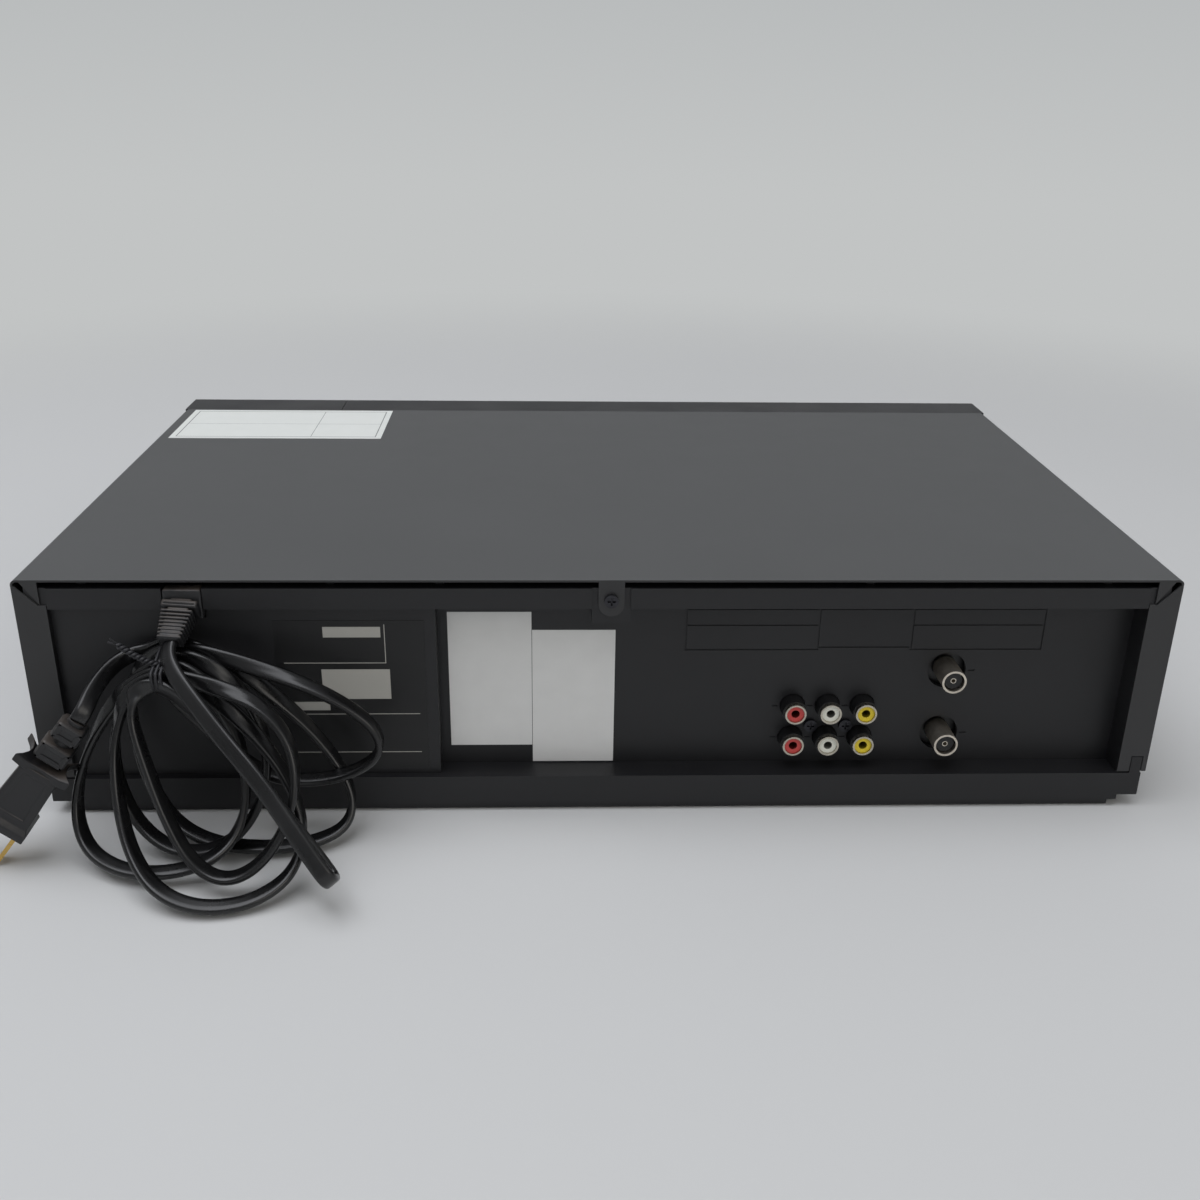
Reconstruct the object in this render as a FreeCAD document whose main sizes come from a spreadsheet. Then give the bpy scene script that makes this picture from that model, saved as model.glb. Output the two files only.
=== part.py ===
import FreeCAD, Part
import math
import os
import re
import Sketcher

# Video cassette recorder, seen from the front along +Y: +X to the right, +Z up.
# The origin is on the surface that the feet stand on, under the middle of the case.
# Lengths are in millimetres and angles in degrees.

Vector = FreeCAD.Vector
Rotation = FreeCAD.Rotation

os.makedirs("parts", exist_ok=True)
doc = FreeCAD.newDocument("VideoRecorder")

# Driving sizes, one cell of the sheet each
sizes = {
    # case
    "caseWidth": 430.0,
    "caseDepth": 270.0,
    "caseHeight": 98.0,
    "plasticWall": 2.5,
    "fitGap": 0.3,
    "touchGap": 0.05,
    # folded steel cover
    "bezelDepth": 29.3,
    "coverSheet": 0.8,
    "coverFoot": 16.3,
    "coverBend": 2.0,
    "flangeWidth": 11.5,
    "mitreDrop": 2.3,
    "mitreRun": 7.8,
    "mitreGap": 0.8,
    "notchOuter": 1.9,
    "notchWidth": 4.8,
    "notchHeight": 6.7,
    "tabWidth": 9.6,
    "tabDrop": 14.4,
    # screws
    "screwRadius": 1.5,
    "screwHeadRadius": 2.6,
    "screwHeadHeight": 1.4,
    "screwLength": 8.0,
    "sideScrewY": 20.0,
    "sideScrewRise": 12.0,
    "rearScrewX": -1.7,
    "rearScrewDrop": 8.0,
    # moulded base frame
    "frameInset": 1.7,
    "frameWall": 2.2,
    "frameFoot": 3.4,
    "frameWallTop": 44.0,
    "stripTop": 15.5,
    "stripCorner": 8.0,
    "stripCornerRise": 2.2,
    "ledgeWidth": 14.0,
    "ledgeRise": 4.6,
    "beamWidth": 8.0,
    "plinthHalf": 202.4,
    "plinthFoot": 0.6,
    # rear panel
    "bandDrop": 3.3,
    "bandHeight": 8.2,
    "recessDepth": 11.0,
    "plateauDepth": 3.0,
    "plateauEdge": 63.5,
    "pocketWidth": 14.4,
    "pocketDrop": 6.0,
    "leadNotchX": 154.5,
    "leadNotchWidth": 14.6,
    "leadNotchDrop": 4.5,
    "grooveDepth": 0.4,
    "grooveWidth": 0.7,
    # bottom plate and feet
    "plateSheet": 0.8,
    "footHeight": 2.6,
    "footRadius": 10.0,
    "footX": 185.0,
    "footFrontY": -82.0,
    "footRearY": 108.0,
    "ventLength": 30.0,
    "ventWidth": 3.0,
    "ventPitch": 8.0,
    "ventCount": 8,
    # front bezel
    "bezelFoot": 2.0,
    "bezelTopRound": 9.0,
    "bezelSideRound": 5.0,
    "splitX": 132.5,
    "splitGap": 0.3,
    "bezelLine": 50.0,
    "doorWidth": 196.8,
    "doorBottom": 56.9,
    "doorDrop": 10.0,
    "doorSheet": 2.2,
    "doorSet": 0.8,
    "doorGap": 0.6,
    "doorPinSet": 3.4,
    "doorPinDrop": 1.6,
    "doorPinRadius": 1.2,
    "windowWidth": 193.6,
    "windowBottom": 22.2,
    "windowHeight": 23.6,
    # buttons
    "upperButtonDrop": 19.0,
    "buttonProud": 1.4,
    "buttonTravel": 0.8,
    "buttonGap": 0.25,
    "buttonFlange": 1.2,
    "buttonRound": 2.0,
    "switchSize": 6.0,
    "switchHeight": 3.5,
    # boards
    "boardSheet": 1.6,
    "frontBoardSet": 19.6,
    # deck
    "deckHalf": 110.0,
    "deckFront": -100.0,
    "deckRear": 98.0,
    "deckTop": 22.0,
    "deckSheet": 1.5,
    "postX": 105.0,
    "postFrontY": -93.0,
    "postRearY": 90.0,
    "postRadius": 3.5,
    "shaftGap": 0.05,
    # tape carriage
    "cassetteWidth": 188.0,
    "slotBottom": 56.0,
    "inTravel": 67.0,
    "downTravel": 29.0,
    "steelSheet": 1.2,
    "bracketInner": 101.0,
    "slideInner": 98.6,
    "holderSheet": 1.0,
    "holderFront": -112.0,
    "holderRear": -48.0,
    "carriagePinRadius": 2.0,
    # head drum
    "drumX": -4.0,
    "drumY": 62.0,
    "drumRadius": 31.0,
    "drumTilt": 5.97,
    "drumShaft": 3.0,
    # tape drive
    "capstanX": 40.0,
    "capstanY": 12.0,
    "capstanRadius": 2.0,
    "flywheelRadius": 27.0,
    "capstanPulley": 8.0,
    "clutchY": 6.0,
    "clutchPulley": 14.0,
    "clutchWheel": 9.7,
    "beltSquare": 1.4,
    "reelX": 46.0,
    "reelY": -31.0,
    "reelRadius": 21.0,
    "hubRadius": 7.0,
    "pinRadius": 1.5,
    "idlerArm": 28.0,
    "idlerRadius": 18.0,
    "pinchPivotX": 74.0,
    "pinchPivotY": 20.0,
    "pinchReachX": 18.75,
    "pinchReachY": 22.35,
    "pinchRadius": 6.6,
    "guideStartX": 24.0,
    "guideStartY": 10.0,
    "guideEndX": 50.0,
    "guideEndY": 62.0,
    "takeupStartX": 20.0,
    "takeupStartY": 16.0,
    "takeupEndX": 42.0,
    "takeupEndY": 66.0,
    "guideRadius": 2.5,
    "camX": 80.0,
    "camY": 78.0,
    "camRadius": 20.0,
    "camTeeth": 40,
    "camBottom": 28.0,
    "camThickness": 6.0,
    "wormRadius": 3.0,
    "motorRadius": 8.5,
    # rear sockets
    "jackFirstX": -74.2,
    "jackPitchX": 13.8,
    "jackInZ": 40.4,
    "jackOutZ": 26.5,
    "jackRingRadius": 4.125,
    "jackCollarRadius": 4.75,
    "jackProud": 8.0,
    "jackRingProud": 1.7,
    "jackScrewFirstX": -81.9,
    "jackScrewZ": 31.8,
    "antennaX": -133.6,
    "antennaInZ": 55.7,
    "antennaOutZ": 28.2,
    "antennaRadius": 4.7,
    "antennaHoleRadius": 7.5,
    # labels
    "labelSheet": 0.15,
    # mains lead, its strain relief and its plug
    "leadThickness": 3.4,
    "leadPitch": 4.1,
    "reliefEndX": 156.0,
    "reliefEndY": 150.0,
    "reliefEndZ": 80.0,
    "reliefRise": 8.9,
    "reliefHead": 7.0,
    "reliefRibs": 7,
    "reliefWide": 5.6,
    "reliefNarrow": 3.9,
    "tieX": 158.0,
    "tieY": 160.5,
    "tieZ": 70.0,
    "tieWidth": 3.0,
    "tieBand": 0.6,
    "plugX": 186.5,
    "plugY": 165.0,
    "plugZ": 57.0,
    "plugNeck": 26.0,
    "plugBody": 21.5,
    "plugFlange": 3.0,
    "plugWidth": 24.0,
    "plugDepth": 17.0,
    "bladeLength": 15.4,
    "bladeWidth": 6.3,
    "bladeThickness": 1.5,
    "bladeSpacing": 12.7,
}

# Places that follow from the sizes
places = {
    "halfWidth": "caseWidth / 2",
    "rearFace": "caseDepth / 2",
    "frontFace": "-caseDepth / 2",
    "seam": "frontFace + bezelDepth",
    "coverInner": "halfWidth - coverSheet",
    "coverUnder": "caseHeight - coverSheet",
    "flangeFace": "rearFace - coverSheet",
    "flangeInner": "halfWidth - flangeWidth",
    "frameSide": "halfWidth - frameInset",
    "frameInner": "frameSide - frameWall",
    "ledgeTop": "frameFoot + ledgeRise",
    "recessFace": "rearFace - recessDepth",
    "recessBack": "recessFace - plasticWall",
    "plateauFace": "rearFace - plateauDepth",
    "plateauBack": "plateauFace - plasticWall",
    "panelEdge": "frameInner - touchGap",
    "bandTop": "caseHeight - bandDrop",
    "bandBottom": "bandTop - bandHeight",
    "pocketBottom": "bandBottom - pocketDrop",
    "leadNotchBottom": "bandBottom - leadNotchDrop",
    "screwZ": "caseHeight - rearScrewDrop",
    "sideScrewZ": "coverFoot + sideScrewRise",
    "bezelInner": "frontFace + plasticWall",
    "doorHalf": "doorWidth / 2",
    "doorTop": "caseHeight - doorDrop",
    "upperButtonZ": "caseHeight - upperButtonDrop",
    "doorPinY": "frontFace + doorPinSet",
    "doorPinZ": "doorTop - doorPinDrop",
    "frontBoardY": "frontFace + frontBoardSet",
    "apertureHalf": "doorHalf + doorGap",
    "apertureBottom": "doorBottom - doorGap",
    "apertureTop": "doorTop + doorGap + 0.4",
    "doorFace": "frontFace + doorSet",
    "windowHalf": "windowWidth / 2",
    "windowTop": "windowBottom + windowHeight",
    "buttonFace": "frontFace - buttonProud",
    "boardFace": "frontBoardY - boardSheet",
    "mainBoardTop": "ledgeTop + boardSheet",
    "deckUnder": "deckTop - deckSheet",
    "bracketOuter": "bracketInner + steelSheet",
    "slideOuter": "slideInner + steelSheet",
    "holderHalf": "cassetteWidth / 2 + 3.5",
    "slotTop": "slotBottom + 25.8",
    "holderTop": "slotTop + holderSheet",
    "reelTop": "deckTop + 4",
    "wormY": "camY + camRadius + wormRadius + fitGap",
    "wormZ": "camBottom + camThickness / 2",
    "pulleyBottom": "mainBoardTop + 1",
    "pulleyTop": "pulleyBottom + 3.4",
    "flywheelTop": "pulleyTop + 4.9",
    "collarFace": "recessFace + jackProud - jackRingProud",
    "ringFace": "recessFace + jackProud",
}

sheet = doc.addObject("Spreadsheet::Sheet", "Sizes")
for row, (alias, value) in enumerate(sizes.items(), start=1):
    sheet.set("A%d" % row, alias)
    sheet.set("B%d" % row, str(value))
    sheet.setAlias("B%d" % row, alias)
doc.recompute()

WORD = re.compile(r"[A-Za-z]\w*")


# An expression with each place written out and each size read from the sheet
def bound(text):
    def written(match):
        word = match.group()
        if word in places:
            return "(" + bound(places[word]) + ")"
        return "Sizes." + word if word in sizes else word

    return WORD.sub(written, str(text))


# The number that an expression comes to now
def number(text):
    return float(sheet.evalExpression(bound(text)))


def halves(span):
    low, high = span.split(" to ")
    return low, high


# A block between two planes on each axis, such as x="-halfWidth to halfWidth"
def box(x, y, z):
    block = doc.addObject("Part::Box", "Block")
    for side, axis, span in zip(("Length", "Width", "Height"), "xyz", (x, y, z)):
        low, high = halves(span)
        block.setExpression(side, bound("(%s) - (%s)" % (high, low)))
        block.setExpression("Placement.Base." + axis, bound(low))
    return block


TURNS = {
    "x": Rotation(Vector(0, 1, 0), 90),
    "y": Rotation(Vector(1, 0, 0), -90),
    "z": Rotation(),
}


def stand(piece, axis, centre, low):
    piece.Placement = FreeCAD.Placement(Vector(), TURNS[axis])
    across = [name for name in "xyz" if name != axis]
    for name, text in zip(across, centre):
        piece.setExpression("Placement.Base." + name, bound(text))
    piece.setExpression("Placement.Base." + axis, bound(low))


# A cylinder along one axis, with its centre on the two other axes and its span along it
def rod(axis, centre, span, radius):
    low, high = halves(span)
    cylinder = doc.addObject("Part::Cylinder", "Rod")
    cylinder.setExpression("Radius", bound(radius))
    cylinder.setExpression("Height", bound("(%s) - (%s)" % (high, low)))
    stand(cylinder, axis, centre, low)
    return cylinder


# A cone along one axis, whose radius goes from the low end to the high end
def cone(axis, centre, span, low_radius, high_radius):
    low, high = halves(span)
    taper = doc.addObject("Part::Cone", "Taper")
    taper.setExpression("Radius1", bound(low_radius))
    taper.setExpression("Radius2", bound(high_radius))
    taper.setExpression("Height", bound("(%s) - (%s)" % (high, low)))
    stand(taper, axis, centre, low)
    return taper


def fuse(*pieces):
    joined = doc.addObject("Part::MultiFuse", "Joined")
    joined.Shapes = list(pieces)
    joined.Refine = True
    return joined


def group(*pieces):
    together = doc.addObject("Part::Compound", "Together")
    together.Links = list(pieces)
    return together


def cut(base, *tools):
    remainder = doc.addObject("Part::Cut", "Remainder")
    remainder.Base = base
    remainder.Tool = tools[0] if len(tools) == 1 else fuse(*tools)
    return remainder


def common(base, tool):
    shared = doc.addObject("Part::Common", "Shared")
    shared.Base = base
    shared.Tool = tool
    return shared


# The numbers of the straight edges along one axis whose middle has the given places
def edges_along(shape, axis, **where):
    direction = {"x": Vector(1, 0, 0), "y": Vector(0, 1, 0), "z": Vector(0, 0, 1)}[axis]
    found = []
    for index, edge in enumerate(shape.Edges, start=1):
        if not isinstance(edge.Curve, (Part.Line, Part.LineSegment)):
            continue
        along = edge.Vertexes[-1].Point - edge.Vertexes[0].Point
        if along.Length < 0.01 or along.normalize().cross(direction).Length > 0.001:
            continue
        middle = edge.CenterOfMass
        texts = {name: text if isinstance(text, tuple) else (text,) for name, text in where.items()}
        if all(
            any(abs(getattr(middle, name) - number(text)) < 0.02 for text in options)
            for name, options in texts.items()
        ):
            found.append(index)
    return found


# Rounds chosen straight edges: each choice is (axis, radius, places)
def rounded(base, *choices):
    doc.recompute()
    softened = doc.addObject("Part::Fillet", "Softened")
    softened.Base = base
    edges = []
    for axis, radius, where in choices:
        size = number(radius)
        edges += [(index, size, size) for index in edges_along(base.Shape, axis, **where)]
    softened.Edges = edges
    return softened


# A body of sketches and features
def new_body():
    return doc.addObject("PartDesign::Body", "Body")


def flat_sketch(body, role, height="0"):
    sketch = body.newObject("Sketcher::SketchObject", "Sketch")
    plane = [item for item in body.Origin.OriginFeatures if item.Role == role][0]
    sketch.AttachmentSupport = [(plane, "")]
    sketch.MapMode = "FlatFace"
    sketch.setExpression("AttachmentOffset.Base.z", bound(height))
    return sketch


# A closed outline of straight lines through corners that are pairs of expressions
def outline(sketch, corners):
    points = [Vector(number(x), number(y), 0) for x, y in corners]
    first = sketch.GeometryCount
    count = len(points)
    for index in range(count):
        line = Part.LineSegment(points[index], points[(index + 1) % count])
        sketch.addGeometry(line, False)
    for index in range(count):
        after = first + (index + 1) % count
        sketch.addConstraint(Sketcher.Constraint("Coincident", first + index, 2, after, 1))
    for index, texts in enumerate(corners):
        for kind, text in zip(("DistanceX", "DistanceY"), texts):
            side = first + index
            value = number(text)
            place = sketch.addConstraint(Sketcher.Constraint(kind, -1, 1, side, 1, value))
            sketch.renameConstraint(place, "%s%d" % (kind, side))
            sketch.setExpression("Constraints.%s%d" % (kind, side), bound(text))


def rectangle(sketch, x, y):
    left, right = halves(x)
    bottom, top = halves(y)
    outline(sketch, [(left, bottom), (right, bottom), (right, top), (left, top)])


def circle(sketch, x, y, radius):
    index = sketch.GeometryCount
    centre = Vector(number(x), number(y), 0)
    sketch.addGeometry(Part.Circle(centre, Vector(0, 0, 1), number(radius)), False)
    limits = (("DistanceX", x), ("DistanceY", y))
    for kind, text in limits:
        place = sketch.addConstraint(Sketcher.Constraint(kind, -1, 1, index, 3, number(text)))
        sketch.renameConstraint(place, "%s%d" % (kind, index))
        sketch.setExpression("Constraints.%s%d" % (kind, index), bound(text))
    place = sketch.addConstraint(Sketcher.Constraint("Radius", index, number(radius)))
    sketch.renameConstraint(place, "Radius%d" % index)
    sketch.setExpression("Constraints.Radius%d" % index, bound(radius))


def pad(body, sketch, length):
    feature = body.newObject("PartDesign::Pad", "Pad")
    feature.Profile = sketch
    feature.setExpression("Length", bound(length))
    sketch.Visibility = False
    return feature


# A pocket that goes the way its sketch faces is reversed from the usual one
def pocket(body, sketch, depth, reverse=False):
    feature = body.newObject("PartDesign::Pocket", "Pocket")
    feature.Profile = sketch
    feature.setExpression("Length", bound(depth))
    feature.Reversed = reverse
    return feature


parts = []


# Names a finished sub-part
def finished(name, piece):
    piece.Label = name
    parts.append(piece)
    return piece


both_sides = (-1, 1)


# Blocks on both sides, given on the right-hand side
def mirrored_boxes(x, y, z):
    low, high = halves(x)
    left = box("-(%s) to -(%s)" % (high, low), y, z)
    return [left, box(x, y, z)]


# Cover: a folded steel sheet with narrow rear flanges and one screw tab
def top_cover():
    outer = box("-halfWidth to halfWidth", "seam to rearFace", "coverFoot to caseHeight")
    outer = rounded(outer, ("y", "coverBend", {"x": ("-halfWidth", "halfWidth"), "z": "caseHeight"}))
    inner = box("-coverInner to coverInner", "seam - 1 to rearFace + 1", "coverFoot - 1 to coverUnder")
    inner = rounded(
        inner,
        ("y", "coverBend - coverSheet", {"x": ("-coverInner", "coverInner"), "z": "coverUnder"}),
    )
    shell = cut(outer, inner)
    pieces = [shell]
    for side in both_sides:
        flange = new_body()
        sketch = flat_sketch(flange, "XZ_Plane", "-rearFace")
        outline(sketch, [
            ("%d * flangeInner" % side, "coverFoot"),
            ("%d * (halfWidth - notchOuter - notchWidth)" % side, "coverFoot"),
            ("%d * (halfWidth - notchOuter - notchWidth)" % side, "coverFoot + notchHeight"),
            ("%d * (halfWidth - notchOuter)" % side, "coverFoot + notchHeight"),
            ("%d * (halfWidth - notchOuter)" % side, "coverFoot"),
            ("%d * (halfWidth - coverSheet / 2)" % side, "coverFoot"),
            ("%d * (halfWidth - coverSheet / 2)" % side, "caseHeight - mitreDrop"),
            ("%d * (halfWidth - coverSheet)" % side, "caseHeight - mitreDrop"),
            ("%d * (halfWidth - coverSheet - mitreRun)" % side, "caseHeight - mitreDrop - mitreRun"),
            ("%d * flangeInner" % side, "caseHeight - mitreDrop - mitreRun"),
        ])
        pad(flange, sketch, "coverSheet").Reversed = False
        pieces.append(flange)
        gusset = new_body()
        sketch = flat_sketch(gusset, "XZ_Plane", "-rearFace")
        inner_edge = "%d * (halfWidth - coverSheet - mitreRun - mitreGap)" % side
        outline(sketch, [
            (inner_edge, "caseHeight - mitreDrop - mitreRun + 0.4"),
            (inner_edge, "coverUnder + coverSheet / 2"),
            ("%d * (halfWidth - coverBend - mitreGap)" % side, "coverUnder + coverSheet / 2"),
        ])
        pad(gusset, sketch, "coverSheet")
        pieces.append(gusset)
    tab_drop = "caseHeight - tabDrop + tabWidth / 2"
    pieces.append(box(
        "rearScrewX - tabWidth / 2 to rearScrewX + tabWidth / 2",
        "flangeFace to rearFace",
        tab_drop + " to coverUnder + coverSheet / 2",
    ))
    pieces.append(rod("y", ("rearScrewX", tab_drop), "flangeFace to rearFace", "tabWidth / 2"))
    holes = [rod("y", ("rearScrewX", "screwZ"), "flangeFace - 1 to rearFace + 1", "screwRadius + 0.2")]
    for side in both_sides:
        span = "coverInner - 1 to halfWidth + 1" if side > 0 else "-halfWidth - 1 to 1 - coverInner"
        holes.append(rod("x", ("sideScrewY", "sideScrewZ"), span, "screwRadius + 0.2"))
    return finished("top_cover", cut(fuse(*pieces), *holes))


# Base frame: a moulded tray with a rear strip, side walls, two beams and the deck posts
def base_frame():
    rear = "recessBack to rearFace"
    pieces = [
        box("-frameSide to frameSide", "rearFace - frameWall to rearFace", "frameFoot to stripTop"),
        box("-frameSide to frameSide", rear, "stripTop - plasticWall to stripTop"),
        box("-frameSide to frameSide", rear, "frameFoot to ledgeTop"),
        box(
            "-frameSide to frameSide",
            "seam + fitGap to seam + fitGap + ledgeWidth",
            "frameFoot to ledgeTop",
        ),
        box(
            "-frameSide to frameSide",
            "seam + fitGap to seam + fitGap + frameWall",
            "frameFoot to stripTop",
        ),
        box(
            "-plinthHalf to plinthHalf",
            "rearFace - 4 to rearFace - 1.5",
            "plinthFoot to frameFoot + 1",
        ),
    ]
    pieces += mirrored_boxes(
        "frameSide - ledgeWidth to frameSide",
        "seam + fitGap to rearFace",
        "frameFoot to ledgeTop",
    )
    pieces += mirrored_boxes(
        "frameInner to frameSide",
        "seam + fitGap to plateauBack",
        "frameFoot to frameWallTop",
    )
    pieces += mirrored_boxes(
        "frameInner to frameSide",
        "seam + fitGap to rearFace",
        "frameFoot to stripTop",
    )
    hook = "halfWidth - notchOuter - notchWidth + fitGap to halfWidth - notchOuter - fitGap"
    pieces += mirrored_boxes(
        hook,
        "flangeFace to rearFace",
        "stripTop - 1 to coverFoot + notchHeight - fitGap",
    )
    boss = "sideScrewZ"
    for side in both_sides:
        span = "frameInner - 6 to frameSide" if side > 0 else "-frameSide to 6 - frameInner"
        pieces.append(rod("x", ("sideScrewY", boss), span, "postRadius"))
    for middle in ("postFrontY", "postRearY"):
        beam = "%s - beamWidth / 2 to %s + beamWidth / 2" % (middle, middle)
        pieces.append(box("-frameInner to frameInner", beam, "frameFoot to ledgeTop"))
        for side in both_sides:
            centre = ("%d * postX" % side, middle)
            pieces.append(rod("z", centre, "frameFoot to deckUnder", "postRadius"))
    frame = fuse(*pieces)
    tools = mirrored_boxes(
        "frameSide - stripCorner to frameSide + 1",
        "seam - 1 to rearFace + 1",
        "frameFoot - 1 to frameFoot + stripCornerRise",
    )
    hole = "screwRadius + touchGap"
    for x, y in bottom_screw_places():
        tools.append(rod("z", (x, y), "frameFoot - 1 to ledgeTop + 1", hole))
    for side in both_sides:
        for middle in ("postFrontY", "postRearY"):
            tools.append(rod("z", ("%d * postX" % side, middle), "deckUnder - 9 to deckTop", hole))
        span = "frameInner - 7 to frameSide + 1" if side > 0 else "-frameSide - 1 to 7 - frameInner"
        tools.append(rod("x", ("sideScrewY", boss), span, hole))
    return finished("base_frame", cut(frame, *tools))


# The six screws of the bottom plate stand in the frame's ledges
def bottom_screw_places():
    across = "(frameSide - ledgeWidth / 2 - stripCorner / 2)"
    return [
        ("%d * %s" % (side, across), y)
        for side in both_sides
        for y in ("seam + ledgeWidth / 2", "footRearY / 4", "rearFace - ledgeWidth / 2")
    ]


# The empty frames engraved beside the sockets, and the short lines between the sockets
def engraved_lines():
    top, middle, bottom = "81.7", "75.1", "64.8"
    lines = []

    def line(x, z):
        lines.append(box(x, "recessFace - grooveDepth to recessFace + 1", z))

    for level in (top, middle, bottom):
        for span in (("-169.3", "-118.4"), ("-82.1", "-31")):
            line("%s to %s" % span, "%s - grooveWidth / 2 to %s + grooveWidth / 2" % (level, level))
    for level in (top, "65.8"):
        line("-118.4 to -82.1", "%s - grooveWidth / 2 to %s + grooveWidth / 2" % (level, level))
    for place in ("-169.3", "-118.4", "-82.1", "-31"):
        low = "%s - grooveWidth / 2 to %s + grooveWidth / 2" % (place, place)
        line(low, "%s - grooveWidth / 2 to %s + grooveWidth / 2" % (bottom, top))
    for height in ("jackInZ", "jackOutZ"):
        level = "%s - grooveWidth / 2 to %s + grooveWidth / 2" % (height, height)
        for step in (-1, 0, 1):
            centre = "jackFirstX - %g * jackPitchX" % (step + 0.5)
            line("%s - 1.2 to %s + 1.2" % (centre, centre), level)
    for height in ("antennaInZ", "antennaOutZ"):
        level = "%s - grooveWidth / 2 to %s + grooveWidth / 2" % (height, height)
        line("antennaX - antennaHoleRadius - 3.5 to antennaX - antennaHoleRadius - 0.8", level)
    return lines


# Rear panel: a band under the cover's edge, a deep recess and a shallow plateau
def rear_panel():
    pieces = [
        box(
            "-flangeInner + fitGap to flangeInner - fitGap",
            "plateauBack to rearFace",
            "bandBottom to bandTop",
        ),
        box("-panelEdge to panelEdge", "plateauBack - 0.8 to flangeFace", "bandBottom to bandTop"),
        box(
            "-flangeInner - plasticWall to plateauEdge + plasticWall",
            "recessBack to flangeFace",
            "bandBottom to bandBottom + plasticWall",
        ),
        box(
            "-flangeInner - plasticWall to plateauEdge + plasticWall",
            "recessBack to recessFace",
            "stripTop to bandBottom + plasticWall",
        ),
        box(
            "-flangeInner - plasticWall to -flangeInner",
            "recessBack to flangeFace",
            "stripTop to bandBottom + plasticWall",
        ),
        box(
            "plateauEdge to plateauEdge + plasticWall",
            "recessBack to plateauFace",
            "stripTop to bandBottom + plasticWall",
        ),
        box(
            "plateauEdge to panelEdge",
            "plateauBack to plateauFace",
            "stripTop to bandBottom + plasticWall",
        ),
    ]
    pieces += mirrored_boxes(
        "flangeInner to panelEdge",
        "plateauBack to flangeFace",
        "stripTop to bandTop",
    )
    for place in ("-190", "-100", "60", "100", "190"):
        pieces.append(box(
            "%s to %s + 3" % (place, place),
            "plateauBack - 4 to plateauBack + 1",
            "bandBottom to coverUnder",
        ))
    pocket_width = "rearScrewX - pocketWidth / 2 to rearScrewX + pocketWidth / 2"
    pieces.append(box(pocket_width, "recessBack to flangeFace", "pocketBottom to bandTop"))
    panel = fuse(*pieces)
    lead = "leadNotchX - leadNotchWidth / 2 to leadNotchX + leadNotchWidth / 2"
    tools = [
        box(pocket_width, "flangeFace to rearFace + 1", "pocketBottom to bandTop + 1"),
        rod("y", ("rearScrewX", "screwZ"), "recessBack - 1 to rearFace + 1", "screwRadius + touchGap"),
        box(lead, "recessBack to rearFace + 1", "leadNotchBottom to bandTop + 5"),
    ]
    for x, z in jack_places():
        tools.append(rod("y", (x, z), "recessBack - 1 to recessFace + 1", "jackCollarRadius + fitGap"))
    for z in ("antennaInZ", "antennaOutZ"):
        tools.append(rod("y", ("antennaX", z), "recessBack - 1 to recessFace + 1", "antennaHoleRadius"))
    for x in jack_screw_places():
        tools.append(rod(
            "y",
            (x, "jackScrewZ"),
            "recessBack - 1 to recessFace + 1",
            "screwRadius + touchGap",
        ))
    return finished("rear_panel", cut(panel, *tools, *engraved_lines()))


def jack_places():
    columns = ["jackFirstX - %d * jackPitchX" % step for step in range(3)]
    return [(x, z) for z in ("jackInZ", "jackOutZ") for x in columns]


def jack_screw_places():
    return ["jackScrewFirstX - %d * jackPitchX" % step for step in range(2)]


# Bottom plate: a flat steel sheet with two fields of vent slots
def bottom_plate():
    body = new_body()
    sketch = flat_sketch(body, "XY_Plane", "frameFoot - plateSheet")
    rectangle(sketch, "-plinthHalf to plinthHalf", "seam + 2 to rearFace - 4 - touchGap")
    pad(body, sketch, "plateSheet")
    for side in both_sides:
        slot = flat_sketch(body, "XY_Plane", "frameFoot")
        middle = "%d * footX * 0.8" % side
        rectangle(
            slot,
            "%s - ventLength / 2 to %s + ventLength / 2" % (middle, middle),
            "-ventPitch * ventCount / 2 to -ventPitch * ventCount / 2 + ventWidth",
        )
        first = pocket(body, slot, "plateSheet")
        doc.recompute()
        row = body.newObject("PartDesign::LinearPattern", "Slots")
        row.Originals = [first]
        row.Direction = (slot, ["V_Axis"])
        row.setExpression("Length", bound("ventPitch * (ventCount - 1)"))
        row.setExpression("Occurrences", bound("ventCount"))
        body.Tip = row
    holes = flat_sketch(body, "XY_Plane", "frameFoot")
    for x, y in bottom_screw_places():
        circle(holes, x, y, "screwRadius + 0.2")
    pocket(body, holes, "plateSheet")
    return finished("bottom_plate", body)


# Feet: four round pads under the bottom plate
def feet():
    pads = []
    for side in both_sides:
        for y in ("footFrontY", "footRearY"):
            centre = ("%d * footX" % side, y)
            pads.append(cone("z", centre, "0 to 0.8", "footRadius - 0.8", "footRadius"))
            pads.append(rod("z", centre, "0.8 to footHeight", "footRadius"))
    feet_pads = [fuse(pads[index], pads[index + 1]) for index in range(0, len(pads), 2)]
    return finished("feet", group(*feet_pads))


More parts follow.
